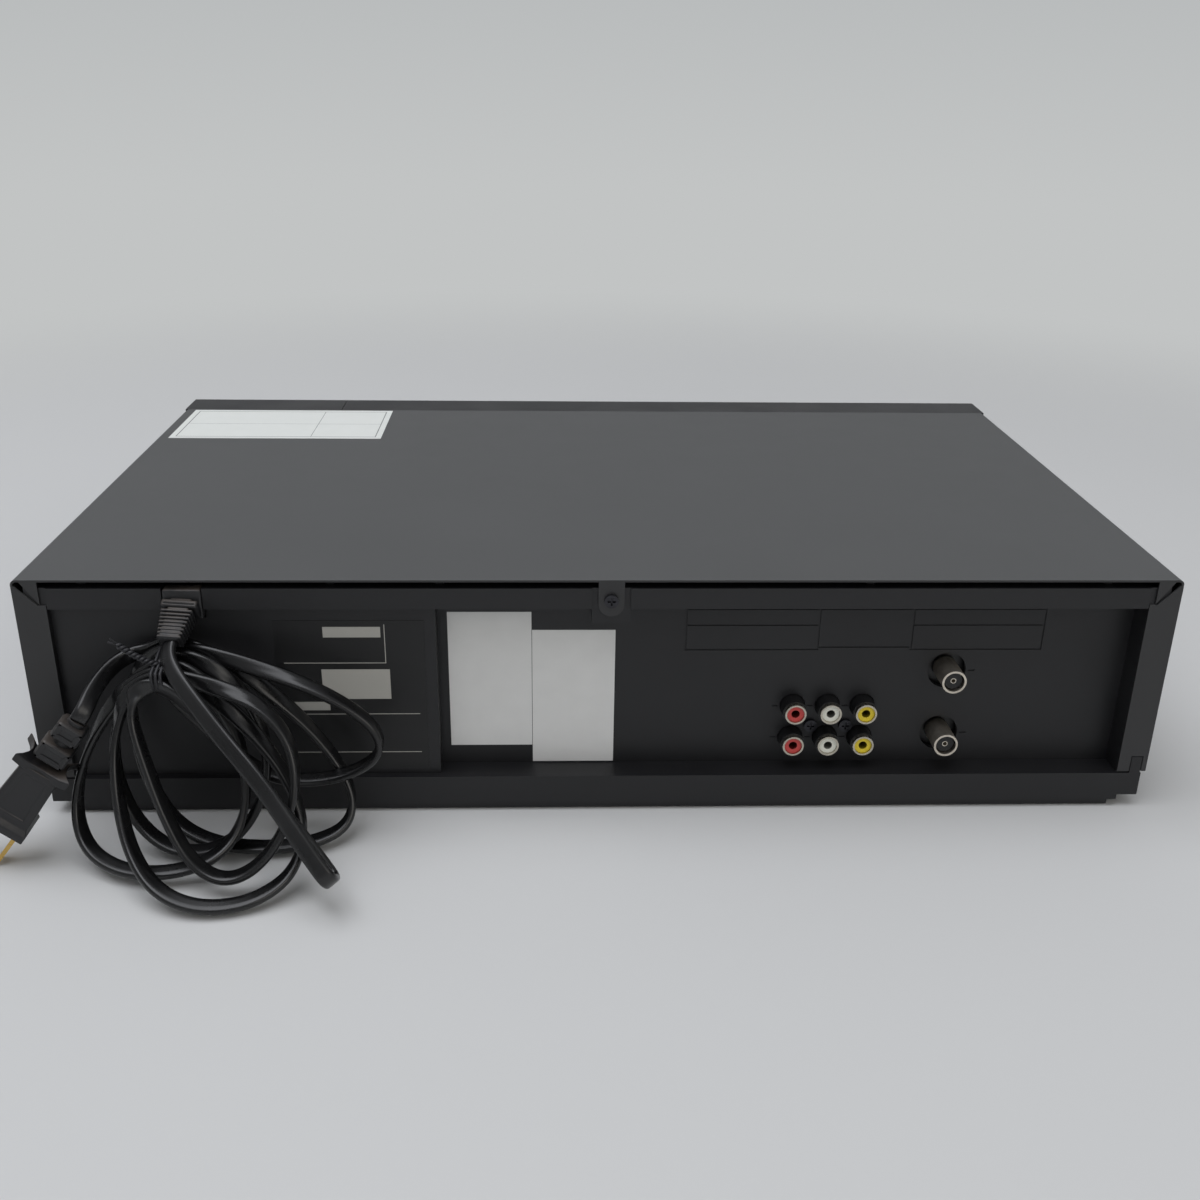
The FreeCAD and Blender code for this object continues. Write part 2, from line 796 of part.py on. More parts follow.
# A cross-head screw: head, threaded shank and the cross recess
def screw(axis, centre, seat, outward):
    head_end = "%s + (%d) * screwHeadHeight" % (seat, outward)
    tip = "%s - (%d) * screwLength" % (seat, outward)
    recess = "%s - (%d) * 0.3" % (seat, outward)
    if outward > 0:
        head = rod(axis, centre, "%s to %s" % (seat, head_end), "screwHeadRadius")
        shank = rod(axis, centre, "%s to %s" % (tip, seat), "screwRadius")
        span = "%s to %s + 1" % (recess.replace("- (1) * 0.3", "+ 0.5"), head_end)
    else:
        head = rod(axis, centre, "%s to %s" % (head_end, seat), "screwHeadRadius")
        shank = rod(axis, centre, "%s to %s" % (seat, tip), "screwRadius")
        span = "%s - 1 to %s - 0.5" % (head_end, seat)
    arms = []
    across = {"x": "yz", "y": "xz", "z": "xy"}[axis]
    for long_axis in across:
        spans = {axis: span}
        for name, text in zip(across, centre):
            reach = 1.5 if name == long_axis else 0.35
            spans[name] = "%s - %g to %s + %g" % (text, reach, text, reach)
        arms.append(box(spans["x"], spans["y"], spans["z"]))
    return cut(fuse(head, shank), *arms)


# Screws: one behind, one on each side, six below, four in the deck and two at the sockets
def screws():
    pieces = [screw("y", ("rearScrewX", "screwZ"), "rearFace", 1)]
    for side in both_sides:
        pieces.append(screw("x", ("sideScrewY", "sideScrewZ"), "%d * halfWidth" % side, side))
        for middle in ("postFrontY", "postRearY"):
            pieces.append(screw("z", ("%d * postX" % side, middle), "deckTop", 1))
    for x, y in bottom_screw_places():
        pieces.append(screw("z", (x, y), "frameFoot - plateSheet", -1))
    for x in jack_screw_places():
        pieces.append(screw("y", (x, "jackScrewZ"), "recessFace", 1))
    return finished("screws", group(*pieces))


# Buttons: name, centre across, centre height, width and height of each cap
buttons = {
    "power_button": ("-178", "upperButtonZ - 3", "32", "12"),
    "stop_eject_button": ("-130", "upperButtonZ - 3", "28", "12"),
    "record_button": ("-178", "34", "22", "8"),
    "play_button": ("174", "upperButtonZ", "38", "12"),
    "rewind_button": ("155", "upperButtonZ - 17", "28", "9"),
    "fast_forward_button": ("193", "upperButtonZ - 17", "28", "9"),
    "channel_down_button": ("155", "34", "28", "8"),
    "channel_up_button": ("193", "34", "28", "8"),
}


# The whole front moulding, before it is divided in two
def bezel_shell():
    faces = {"y": "frontFace"}
    outer = box("-halfWidth to halfWidth", "frontFace to seam", "bezelFoot to caseHeight")
    outer = rounded(
        outer,
        ("x", "bezelTopRound", {"y": "frontFace", "z": "caseHeight"}),
        ("x", "2", {"y": "frontFace", "z": "bezelFoot"}),
        ("z", "bezelSideRound", dict(faces, x=("-halfWidth", "halfWidth"))),
    )
    inner = box(
        "-halfWidth + plasticWall to halfWidth - plasticWall",
        "bezelInner to seam + 1",
        "bezelFoot + plasticWall to caseHeight - plasticWall",
    )
    inner = rounded(
        inner,
        ("x", "bezelTopRound - plasticWall", {"y": "bezelInner", "z": "caseHeight - plasticWall"}),
        (
            "z",
            "bezelSideRound - plasticWall",
            {"y": "bezelInner", "x": ("-halfWidth + plasticWall", "halfWidth - plasticWall")},
        ),
    )
    tools = [inner]
    tools.append(box(
        "-halfWidth - 1 to halfWidth + 1",
        "frontFace - 1 to frontFace + 0.6",
        "bezelLine - 0.5 to bezelLine + 0.5",
    ))
    tools.append(box(
        "-apertureHalf to apertureHalf",
        "frontFace - 1 to bezelInner + 1",
        "apertureBottom to apertureTop",
    ))
    tools.append(box(
        "-windowHalf - 0.2 to windowHalf + 0.2",
        "frontFace - 1 to bezelInner + 1",
        "windowBottom - 0.2 to windowTop + 0.2",
    ))
    for x, z, width, height in buttons.values():
        opening = box(
            "%s - %s / 2 - buttonGap to %s + %s / 2 + buttonGap" % (x, width, x, width),
            "frontFace - 1 to bezelInner + 1",
            "%s - %s / 2 - buttonGap to %s + %s / 2 + buttonGap" % (z, height, z, height),
        )
        tools.append(rounded(opening, ("y", "buttonRound + buttonGap", {})))
    return cut(outer, *tools)


# Shelves behind the bezel: one under the cover's top, one on the base frame's strip
def bezel_shelves(across):
    upper = "caseHeight - 2 * plasticWall - 1 to caseHeight - plasticWall"
    lower = "stripTop + fitGap to stripTop + fitGap + plasticWall"
    return [
        box(across, "bezelInner - 0.5 to seam + 4", upper),
        box(across, "bezelInner - 0.5 to seam + 0.2", lower),
    ]


# Main front panel with the door's cheeks, the slot's sill and the board's bosses
def front_panel():
    pieces = [common(bezel_shell(), box(
        "-halfWidth - 1 to splitX - splitGap / 2", "frontFace - 1 to seam + 1", "0 to caseHeight + 1",
    ))]
    cheek = "apertureHalf to apertureHalf + plasticWall"
    for block in mirrored_boxes(
        cheek,
        "bezelInner - 1 to seam - 6",
        "apertureBottom - 2.4 to apertureTop + 2",
    ):
        pieces.append(block)
    pieces.append(box(
        "-apertureHalf to apertureHalf",
        "bezelInner - 0.5 to boardFace + 3",
        "apertureBottom - 2.8 to apertureBottom - 0.4",
    ))
    for x, z in board_boss_places():
        if number(x) < number("splitX"):
            pieces.append(rod("y", (x, z), "bezelInner - 0.5 to boardFace", "postRadius"))
    pieces += bezel_shelves("-frameSide + 4 to splitX - 2")
    pin_holes = []
    for side in both_sides:
        span = "apertureHalf - 1 to apertureHalf + plasticWall + 1"
        if side < 0:
            span = "-apertureHalf - plasticWall - 1 to 1 - apertureHalf"
        pin_holes.append(rod("x", ("doorPinY", "doorPinZ"), span, "doorPinRadius + shaftGap"))
        spring_room = "apertureHalf + plasticWall to apertureHalf + plasticWall + 5.4"
        if side < 0:
            spring_room = "-apertureHalf - plasticWall - 5.4 to -apertureHalf - plasticWall"
        pin_holes.append(rod("x", ("doorPinY", "doorPinZ"), spring_room, "doorPinRadius + 1.2"))
    return finished("front_panel", cut(fuse(*pieces), *pin_holes))


def board_boss_places():
    return [
        ("-202", "26"),
        ("-106", "26"),
        ("106", "26"),
        ("-202", "58"),
        ("144", "24"),
        ("207", "caseHeight / 2 + 1"),
    ]


# Control panel: the right-hand end of the front
def control_panel():
    pieces = [common(bezel_shell(), box(
        "splitX + splitGap / 2 to halfWidth + 1", "frontFace - 1 to seam + 1", "0 to caseHeight + 1",
    ))]
    for x, z in board_boss_places():
        if number(x) > number("splitX"):
            pieces.append(rod("y", (x, z), "bezelInner - 0.5 to boardFace", "postRadius"))
    pieces += bezel_shelves("splitX + 2 to frameSide - 4")
    return finished("control_panel", fuse(*pieces))


# Buttons: a rounded cap, a flange behind the wall and a stem that meets its switch
def button(name, x, z, width, height):
    body = new_body()
    cap = flat_sketch(body, "XZ_Plane", "-(bezelInner + fitGap)")
    rectangle(
        cap,
        "%s - %s / 2 to %s + %s / 2" % (x, width, x, width),
        "%s - %s / 2 to %s + %s / 2" % (z, height, z, height),
    )
    block = pad(body, cap, "bezelInner + fitGap - buttonFace")
    doc.recompute()
    corners = body.newObject("PartDesign::Fillet", "Corners")
    corners.Base = (block, ["Edge%d" % index for index in edges_along(block.Shape, "y")])
    corners.setExpression("Radius", bound("buttonRound"))
    doc.recompute()
    rim = [
        "Edge%d" % index
        for index, edge in enumerate(corners.Shape.Edges, start=1)
        if abs(edge.BoundBox.YMax - number("buttonFace")) < 0.01
    ]
    soft = body.newObject("PartDesign::Fillet", "Rim")
    soft.Base = (corners, rim)
    soft.Radius = 0.5
    flange = flat_sketch(body, "XZ_Plane", "-(bezelInner + fitGap + 1)")
    rectangle(
        flange,
        "%s - %s / 2 - buttonFlange to %s + %s / 2 + buttonFlange" % (x, width, x, width),
        "%s - %s / 2 - buttonFlange to %s + %s / 2 + buttonFlange" % (z, height, z, height),
    )
    pad(body, flange, "1")
    stem = flat_sketch(body, "XZ_Plane", "-(boardFace - switchHeight - 1.1 - buttonTravel - 0.1)")
    circle(stem, x, z, "2")
    pad(body, stem, "boardFace - switchHeight - 2 - buttonTravel - bezelInner - fitGap")
    return finished(name, body)


# Door: a flap in the slot, hung on two pins near its top edge
def cassette_door():
    flap = box("-doorHalf to doorHalf", "doorFace to doorFace + doorSheet", "doorBottom to doorTop")
    flap = rounded(
        flap,
        ("x", "0.8", {"y": "doorFace", "z": ("doorBottom", "doorTop")}),
    )
    pieces = [flap]
    pieces += mirrored_boxes(
        "doorHalf - 2.4 to doorHalf",
        "doorFace + 1 to doorPinY + 1.4",
        "doorPinZ - 1.5 to doorPinZ + 1.5",
    )
    for side in both_sides:
        span = "doorHalf - 2 to apertureHalf + plasticWall + 5"
        if side < 0:
            span = "-apertureHalf - plasticWall - 5 to 2 - doorHalf"
        pieces.append(rod("x", ("doorPinY", "doorPinZ"), span, "doorPinRadius"))
    return finished("cassette_door", fuse(*pieces))


# Door spring: the coil round the left pin, with a leg on the cheek
def door_spring():
    span = "-apertureHalf - plasticWall - 4.2 to -apertureHalf - plasticWall - fitGap / 3"
    coil = rod("x", ("doorPinY", "doorPinZ"), span, "doorPinRadius + 0.9")
    bore = rod(
        "x",
        ("doorPinY", "doorPinZ"),
        span.replace(" to ", " - 1 to ") + " + 1",
        "doorPinRadius + 0.2",
    )
    leg = box(
        "-apertureHalf - plasticWall - 0.8 to -apertureHalf - plasticWall",
        "doorPinY + doorPinRadius + 0.3 to doorPinY + 12",
        "doorPinZ + 0.9 to doorPinZ + 1.6",
    )
    return finished("door_spring", cut(fuse(coil, leg), bore))


# Display window with its retaining rim behind the wall
def display_window():
    pane = box(
        "-windowHalf to windowHalf",
        "frontFace + 0.4 to bezelInner + 1",
        "windowBottom to windowTop",
    )
    rim = box(
        "-windowHalf - 2 to windowHalf + 2",
        "bezelInner to bezelInner + 1",
        "windowBottom - 1.6 to windowTop + 1.6",
    )
    return finished("display_window", fuse(pane, rim))


# Display tube: a flat glass envelope on its row of leads
def display_tube():
    glass = box(
        "-62 to 62",
        "bezelInner + 1 + fitGap to bezelInner + 7.3",
        "windowBottom + 1.8 to windowTop - 1.8",
    )
    leads = [
        box(
            "%d to %d" % (x, x + 1),
            "bezelInner + 6 to boardFace",
            "windowBottom + 2.5 to windowBottom + 3",
        )
        for x in range(-55, 56, 5)
    ]
    return finished("display_tube", fuse(glass, *leads))


# Front board: one board round the slot, with a push switch behind each button
def front_board():
    body = new_body()
    sketch = flat_sketch(body, "XZ_Plane", "-frontBoardY")
    inner = "apertureHalf + plasticWall + 3"
    right = "frameInner - 3"
    top = "caseHeight - 10"
    low = "stripTop + 2 * fitGap + plasticWall"
    middle = "apertureBottom - 5"
    outline(sketch, [
        ("-(%s)" % right, low),
        (right, low),
        (right, top),
        (inner, top),
        (inner, middle),
        ("-(%s)" % inner, middle),
        ("-(%s)" % inner, top),
        ("-(%s)" % right, top),
    ])
    pad(body, sketch, "boardSheet")
    pieces = [body]
    for x, z, width, height in buttons.values():
        pieces.append(box(
            "%s - switchSize / 2 to %s + switchSize / 2" % (x, x),
            "boardFace - switchHeight to boardFace",
            "%s - switchSize / 2 to %s + switchSize / 2" % (z, z),
        ))
        pieces.append(rod("y", (x, z), "boardFace - switchHeight - 1.1 to boardFace - 1", "1.7"))
    return finished("front_board", fuse(*pieces))


# A slot of one width between two points, through the deck plate
def slot_between(x0, y0, x1, y1, width):
    reach = "sqrt(((%s) - (%s)) ^ 2 + ((%s) - (%s)) ^ 2)" % (x1, x0, y1, y0)
    block = doc.addObject("Part::Box", "Slot")
    block.setExpression("Length", bound(reach))
    block.setExpression("Width", bound(width))
    block.setExpression("Height", bound("deckSheet + 2"))
    angle = math.atan2(number(y1) - number(y0), number(x1) - number(x0))
    half = number(width) / 2
    corner = Vector(
        number(x0) + half * math.sin(angle),
        number(y0) - half * math.cos(angle),
        number("deckUnder - 1"),
    )
    block.Placement = FreeCAD.Placement(corner, Rotation(Vector(0, 0, 1), math.degrees(angle)))
    span = "deckUnder - 1 to deckTop + 1"
    return [
        block,
        rod("z", (x0, y0), span, "(%s) / 2" % width),
        rod("z", (x1, y1), span, "(%s) / 2" % width),
    ]


# Deck plate: the pressed steel chassis of the tape mechanism, with its fixed shafts
def deck_plate():
    body = new_body()
    sketch = flat_sketch(body, "XY_Plane", "deckUnder")
    outline(sketch, [
        ("-deckHalf", "deckFront"),
        ("deckHalf", "deckFront"),
        ("deckHalf", "wormY + 10"),
        ("drumX + drumRadius + 4", "wormY + 10"),
        ("drumX + drumRadius + 4", "deckRear"),
        ("-deckHalf", "deckRear"),
    ])
    pad(body, sketch, "deckSheet")
    holes = flat_sketch(body, "XY_Plane", "deckTop")
    circle(holes, "capstanX", "capstanY", "capstanRadius + 2.5")
    circle(holes, "0", "clutchY", "pinRadius + shaftGap")
    for side in both_sides:
        for middle in ("postFrontY", "postRearY"):
            circle(holes, "%d * postX" % side, middle, "screwRadius + touchGap")
    pocket(body, holes, "deckSheet")
    shafts = []
    for side in both_sides:
        shafts.append(rod(
            "z",
            ("%d * reelX" % side, "reelY"),
            "deckTop - 1 to reelTop + 13",
            "pinRadius",
        ))
        shafts.append(rod(
            "z",
            ("%d * reelX" % side, "reelY"),
            "deckTop - 1 to deckTop + 1 - shaftGap",
            "4",
        ))
    shafts.append(rod(
        "z",
        ("camX", "camY"),
        "deckTop - 1 to camBottom + camThickness",
        "capstanRadius",
    ))
    shafts.append(rod("z", ("camX", "camY"), "deckTop - 1 to camBottom - shaftGap", "5"))
    shafts.append(rod("z", ("pinchPivotX", "pinchPivotY"), "deckTop - 1 to deckTop + 8", "pinRadius"))
    shafts.append(rod(
        "z",
        ("pinchPivotX", "pinchPivotY"),
        "deckTop - 1 to deckTop + 0.6 - shaftGap",
        "4",
    ))
    slots = slot_between("-guideStartX", "guideStartY", "-guideEndX", "guideEndY", "4")
    slots += slot_between("takeupStartX", "takeupStartY", "takeupEndX", "takeupEndY", "4")
    return finished("deck_plate", fuse(cut(body, *slots), *shafts))


# Side brackets: each carries a level slot for the two pins of a slide
def side_bracket(name, side):
    wall = "bracketInner to bracketOuter" if side > 0 else "-bracketOuter to -bracketInner"
    foot = "bracketInner to deckHalf" if side > 0 else "-deckHalf to -bracketInner"
    front, rear = "deckFront + 2", "holderRear + inTravel + 8"
    upright = box(wall, "%s to %s" % (front, rear), "deckTop to slotTop + 8")
    flange = box(foot, "%s + 12 to %s" % (front, rear), "deckTop to deckTop + steelSheet")
    width = "carriagePinRadius + shaftGap"
    slot_span = "%d * (bracketInner - 1) to %d * (bracketOuter + 1)" % (side, side)
    if side < 0:
        slot_span = "-bracketOuter - 1 to 1 - bracketInner"
    start, end = "holderFront + 22", "holderRear + inTravel - 6"
    level = "slotTop + 3.5"
    tools = [
        box(
            slot_span,
            "%s to %s" % (start, end),
            "%s - (%s) to %s + %s" % (level, width, level, width),
        ),
        rod("x", (start, level), slot_span, width),
        rod("x", (end, level), slot_span, width),
    ]
    return finished(name, cut(fuse(upright, flange), *tools))


# Carriage slides: two plates joined by a cross shaft, each with pins in its bracket
def carriage_slides():
    level = "slotTop + 3.5"
    pieces = []
    tools = []
    for side in both_sides:
        plate = "slideInner to slideOuter" if side > 0 else "-slideOuter to -slideInner"
        pieces.append(box(plate, "holderFront + 14 to holderRear + 2", "deckTop + 8 to slotTop + 6"))
        pin = "slideInner to bracketOuter - 0.2" if side > 0 else "0.2 - bracketOuter to -slideInner"
        for y in ("holderFront + 22", "holderRear - 6"):
            pieces.append(rod("x", (y, level), pin, "carriagePinRadius"))
        hole = "slideInner - 1 to slideOuter + 0.4" if side > 0 else "-slideOuter - 0.4 to 1 - slideInner"
        for y in ("holderFront + 24", "holderRear - 8"):
            width = "carriagePinRadius + shaftGap"
            top = "slotBottom + 12"
            tools.append(box(
                hole,
                "%s - (%s) to %s + %s" % (y, width, y, width),
                "%s - downTravel to %s" % (top, top),
            ))
            tools.append(rod("x", (y, top), hole, width))
            tools.append(rod("x", (y, top + " - downTravel"), hole, width))
    shaft = rod(
        "x",
        ("holderRear - 2", level),
        "-slideInner - 0.2 to slideInner + 0.2",
        "carriagePinRadius",
    )
    return finished("carriage_slides", fuse(cut(fuse(*pieces), *tools), shaft))


# Cassette holder: side ledges, a top plate and two rear stops, with guide pins at the sides
def cassette_holder():
    side_y = "holderFront + 12 to holderRear"
    pieces = [box("-holderHalf to holderHalf", side_y, "slotTop to holderTop")]
    pieces += mirrored_boxes(
        "holderHalf - 13.5 to holderHalf",
        "holderFront to holderRear",
        "slotBottom - holderSheet to slotBottom",
    )
    pieces += mirrored_boxes(
        "holderHalf - holderSheet to holderHalf",
        side_y,
        "slotBottom - holderSheet to holderTop",
    )
    pieces += mirrored_boxes(
        "holderHalf - 20 to holderHalf - 8",
        "holderRear to holderRear + holderSheet",
        "slotBottom + 12 to holderTop",
    )
    for side in both_sides:
        pin = "holderHalf - 0.5 to slideOuter + 0.2"
        if side < 0:
            pin = "-slideOuter - 0.2 to 0.5 - holderHalf"
        for y in ("holderFront + 24", "holderRear - 8"):
            pieces.append(rod("x", (y, "slotBottom + 12"), pin, "carriagePinRadius"))
    return finished("cassette_holder", fuse(*pieces))


# Turned pieces on the leaning axis of the head drum, placed by their heights along it
def on_drum_axis(low, high, radius):
    lean = math.radians(number("drumTilt"))
    direction = Vector(0, math.sin(lean), math.cos(lean))
    foot = Vector(number("drumX"), number("drumY"), number("deckTop + 5"))
    piece = doc.addObject("Part::Cylinder", "Turned")
    piece.setExpression("Radius", bound(radius))
    piece.setExpression("Height", bound("(%s) - (%s)" % (high, low)))
    piece.Placement = FreeCAD.Placement(
        foot + direction * number(low),
        Rotation(Vector(0, 0, 1), direction),
    )
    return piece


def lower_drum():
    plinth = rod("z", ("drumX", "drumY"), "deckTop to deckTop + 5", "drumRadius - 4")
    barrel = on_drum_axis("-1", "18", "drumRadius")
    seat = box("-deckHalf to deckHalf", "-deckHalf to 2 * deckHalf", "0 to deckTop")
    bore = on_drum_axis("-2", "20", "drumShaft + shaftGap")
    return finished("lower_drum", cut(fuse(plinth, barrel), bore, seat))


def upper_drum():
    barrel = on_drum_axis("18.3", "34", "drumRadius")
    rotor = on_drum_axis("34", "38", "drumRadius * 0.45")
    shaft = on_drum_axis("0", "38", "drumShaft")
    groove = cut(
        on_drum_axis("18", "18.8", "drumRadius + 1"),
        on_drum_axis("17", "20", "drumRadius - 0.6"),
    )
    return finished("upper_drum", cut(fuse(barrel, rotor, shaft), groove))


# Capstan: pulley, flywheel and the shaft that drives the tape
def capstan():
    centre = ("capstanX", "capstanY")
    return finished("capstan", fuse(
        rod("z", centre, "pulleyBottom to pulleyTop", "capstanPulley"),
        rod("z", centre, "pulleyBottom to pulleyBottom + 0.5", "capstanPulley + 2"),
        rod("z", centre, "pulleyTop to flywheelTop", "flywheelRadius"),
        rod("z", centre, "flywheelTop to slotBottom - 5", "capstanRadius"),
    ))


# Capstan housing: the bearing plate under the deck
def capstan_housing():
    centre = ("capstanX", "capstanY")
    plate = box(
        "capstanX - 30 to capstanX + 26",
        "capstanY - 18 to capstanY + 18",
        "flywheelTop + fitGap to deckUnder",
    )
    boss = rod("z", centre, "flywheelTop + fitGap to deckTop + 5", "capstanRadius + 2.5")
    bore = rod("z", centre, "flywheelTop to deckTop + 6", "capstanRadius + shaftGap")
    slots = slot_between("takeupStartX", "takeupStartY", "takeupEndX", "takeupEndY", "6")
    return finished("capstan_housing", cut(fuse(plate, boss), bore, *slots))


# Clutch pulley: belt pulley below the deck and the drive wheel above it
def clutch_pulley():
    centre = ("0", "clutchY")
    return finished("clutch_pulley", fuse(
        rod("z", centre, "pulleyBottom to pulleyTop", "clutchPulley"),
        rod("z", centre, "pulleyBottom to pulleyBottom + 0.5", "clutchPulley + 2"),
        rod("z", centre, "pulleyTop to deckUnder - 0.2", "4"),
        rod("z", centre, "deckUnder - 0.2 to reelTop", "pinRadius"),
        rod("z", centre, "deckTop + 1.5 to reelTop", "clutchWheel"),
    ))


# Drive belt: a square rubber loop round the two pulleys
def drive_belt():
    start = Vector(0, number("clutchY"), 0)
    end = Vector(number("capstanX"), number("capstanY"), 0)
    low = number("pulleyBottom + 1")

    # The outline of a belt that stands off both pulleys by the same amount
    def loop(stand_off):
        big = number("clutchPulley") + stand_off
        small = number("capstanPulley") + stand_off
        across = end - start
        heading = math.atan2(across.y, across.x)
        open_angle = math.acos((big - small) / across.Length)

        def point(centre, radius, angle):
            return centre + Vector(radius * math.cos(angle), radius * math.sin(angle), 0)

        left, right = heading + open_angle, heading - open_angle
        edges = [
            Part.Arc(
                point(start, big, left),
                point(start, big, heading + math.pi),
                point(start, big, right),
            ),
            Part.LineSegment(point(start, big, right), point(end, small, right)),
            Part.Arc(point(end, small, right), point(end, small, heading), point(end, small, left)),
            Part.LineSegment(point(end, small, left), point(start, big, left)),
        ]
        return Part.Face(Part.Wire([edge.toShape() for edge in edges]))

    inner = number("touchGap")
    face = loop(inner + number("beltSquare")).cut(loop(inner))
    belt = doc.addObject("Part::Feature", "Belt")
    belt.Shape = face.extrude(Vector(0, 0, number("beltSquare")))
    belt.Placement = FreeCAD.Placement(Vector(0, 0, low), Rotation())
    return finished("drive_belt", belt)


# Reels: a table with a splined hub on a fixed shaft
def reel(name, side):
    centre = ("%d * reelX" % side, "reelY")
    pieces = [
        rod("z", centre, "deckTop + 1 to reelTop", "reelRadius"),
        rod("z", centre, "reelTop to reelTop + 11", "hubRadius"),
        cone("z", centre, "reelTop + 11 to reelTop + 14", "hubRadius", "hubRadius / 2"),
    ]
    for step in range(3):
        spline = doc.addObject("Part::Box", "Spline")
        spline.setExpression("Length", bound("hubRadius + 1.2"))
        spline.Width = 2
        spline.setExpression("Height", bound("9"))
        turn = Rotation(Vector(0, 0, 1), 120 * step)
        corner = turn.multVec(Vector(0, -1, 0))
        spline.Placement = FreeCAD.Placement(corner, turn)
        spline.setExpression("Placement.Base.x", bound("%s + %.4f" % (centre[0], corner.x)))
        spline.setExpression("Placement.Base.y", bound("%s + %.4f" % (centre[1], corner.y)))
        spline.setExpression("Placement.Base.z", bound("reelTop"))
        pieces.append(spline)
    bore = rod("z", centre, "deckTop to reelTop + 15", "pinRadius + shaftGap")
    return finished(name, cut(fuse(*pieces), bore))


# Idler: a swinging arm that carries a rubber-tyred wheel between the reels
def idler_arm():
    arm = box("-4 to 4", "clutchY - idlerArm to clutchY", "deckTop + 0.3 to deckTop + 1.2")
    ends = [
        rod("z", ("0", "clutchY"), "deckTop + 0.3 to deckTop + 1.2", "5"),
        rod("z", ("0", "clutchY - idlerArm"), "deckTop + 0.3 to deckTop + 1.2", "4"),
        rod("z", ("0", "clutchY - idlerArm"), "deckTop + 1 to reelTop + 0.4", "pinRadius"),
    ]
    bore = rod("z", ("0", "clutchY"), "deckTop to deckTop + 2", "pinRadius + shaftGap")
    return finished("idler_arm", cut(fuse(arm, *ends), bore))


def idler_wheel():
    centre = ("0", "clutchY - idlerArm")
    wheel = rod("z", centre, "deckTop + 1.5 to reelTop", "idlerRadius")
    bore = rod("z", centre, "deckTop + 1 to reelTop + 1", "pinRadius + shaftGap")
    return finished("idler_wheel", cut(wheel, bore))


# Pinch roller and its arm, drawn away from the capstan
def pinch_arm():
    pivot = ("pinchPivotX", "pinchPivotY")
    tip = ("pinchPivotX - pinchReachX", "pinchPivotY - pinchReachY")
    angle = math.atan2(number("-pinchReachY"), number("-pinchReachX"))
    arm = doc.addObject("Part::Box", "Arm")
    arm.setExpression("Length", bound("sqrt(pinchReachX ^ 2 + pinchReachY ^ 2)"))
    arm.Width = 6
    arm.Height = 2.4
    base = Vector(
        number(pivot[0]) + 3 * math.sin(angle),
        number(pivot[1]) - 3 * math.cos(angle),
        number("deckTop + 0.6"),
    )
    arm.Placement = FreeCAD.Placement(base, Rotation(Vector(0, 0, 1), math.degrees(angle)))
    pieces = [
        arm,
        rod("z", pivot, "deckTop + 0.6 to deckTop + 8", "4.5"),
        rod("z", tip, "deckTop + 0.6 to deckTop + 3", "3"),
        rod("z", tip, "deckTop + 2 to deckTop + 26", "pinRadius"),
    ]
    bore = rod("z", pivot, "deckTop to deckTop + 9", "pinRadius + shaftGap")
    return finished("pinch_arm", cut(fuse(*pieces), bore))


def pinch_roller():
    tip = ("pinchPivotX - pinchReachX", "pinchPivotY - pinchReachY")
    roller = rod("z", tip, "deckTop + 6 to deckTop + 25", "pinchRadius")
    spacer = rod("z", tip, "deckTop + 3 + shaftGap to deckTop + 6", "2.6")
    bore = rod("z", tip, "deckTop + 2 to deckTop + 27", "pinRadius + shaftGap")
    return finished("pinch_roller", cut(fuse(roller, spacer), bore))


# Guide posts: each slides along its slot from the cassette to the drum
def guide_post(name, x, y):
    centre = (x, y)
    return finished(name, fuse(
        box(
            "%s - 5 to %s + 5" % (x, x),
            "%s - 4 to %s + 4" % (y, y),
            "deckTop + shaftGap to deckTop + 3",
        ),
        rod("z", centre, "deckUnder to deckTop + 1", "2 - shaftGap"),
        rod("z", centre, "deckTop + 3 to deckTop + 25", "guideRadius"),
        rod("z", centre, "deckTop + 25 to deckTop + 26", "guideRadius + 1"),
    ))


# Tape heads on their brackets
def erase_head():
    foot = box("-70 to -54", "28 to 40", "deckTop to deckTop + 2")
    post = box("-67 to -57", "30 to 38", "deckTop + 2 to deckTop + 22")
    face = rod("z", ("-59", "34"), "deckTop + 4 to deckTop + 20", "4")
    return finished("erase_head", fuse(foot, post, face))


def audio_control_head():
    foot = box("54 to 72", "38 to 52", "deckTop to deckTop + 2")
    post = box("57 to 69", "40 to 50", "deckTop + 2 to deckTop + 24")
    face = rod("z", ("59", "45"), "deckTop + 5 to deckTop + 21", "5")
    return finished("audio_control_head", fuse(foot, post, face))


# Cam gear, worm and loading motor
def cam_gear():
    body = new_body()
    sketch = flat_sketch(body, "XY_Plane", "camBottom")
    circle(sketch, "camX", "camY", "camRadius")
    circle(sketch, "camX", "camY", "capstanRadius + shaftGap")
    pad(body, sketch, "camThickness")
    track = flat_sketch(body, "XY_Plane", "camBottom + camThickness")
    circle(track, "camX + 2", "camY", "camRadius * 0.7")
    circle(track, "camX + 2", "camY", "camRadius * 0.7 - 3")
    pocket(body, track, "2")
    doc.recompute()
    gaps = []
    count = int(number("camTeeth"))
    for step in range(count):
        angle = 2 * math.pi * step / count
        gap = rod(
            "z",
            ("camX + camRadius * %.5f" % math.cos(angle), "camY + camRadius * %.5f" % math.sin(angle)),
            "camBottom - 1 to camBottom + camThickness + 1",
            "camRadius * 1.4 / camTeeth",
        )
        gaps.append(gap)
    return finished("cam_gear", cut(body, group(*gaps)))


def motor_worm():
    centre = ("wormY", "wormZ")
    return finished("motor_worm", fuse(
        rod("x", centre, "camX - 9 to camX + 9", "wormRadius"),
        rod("x", centre, "camX - 24 to camX + 14", "1"),
    ))


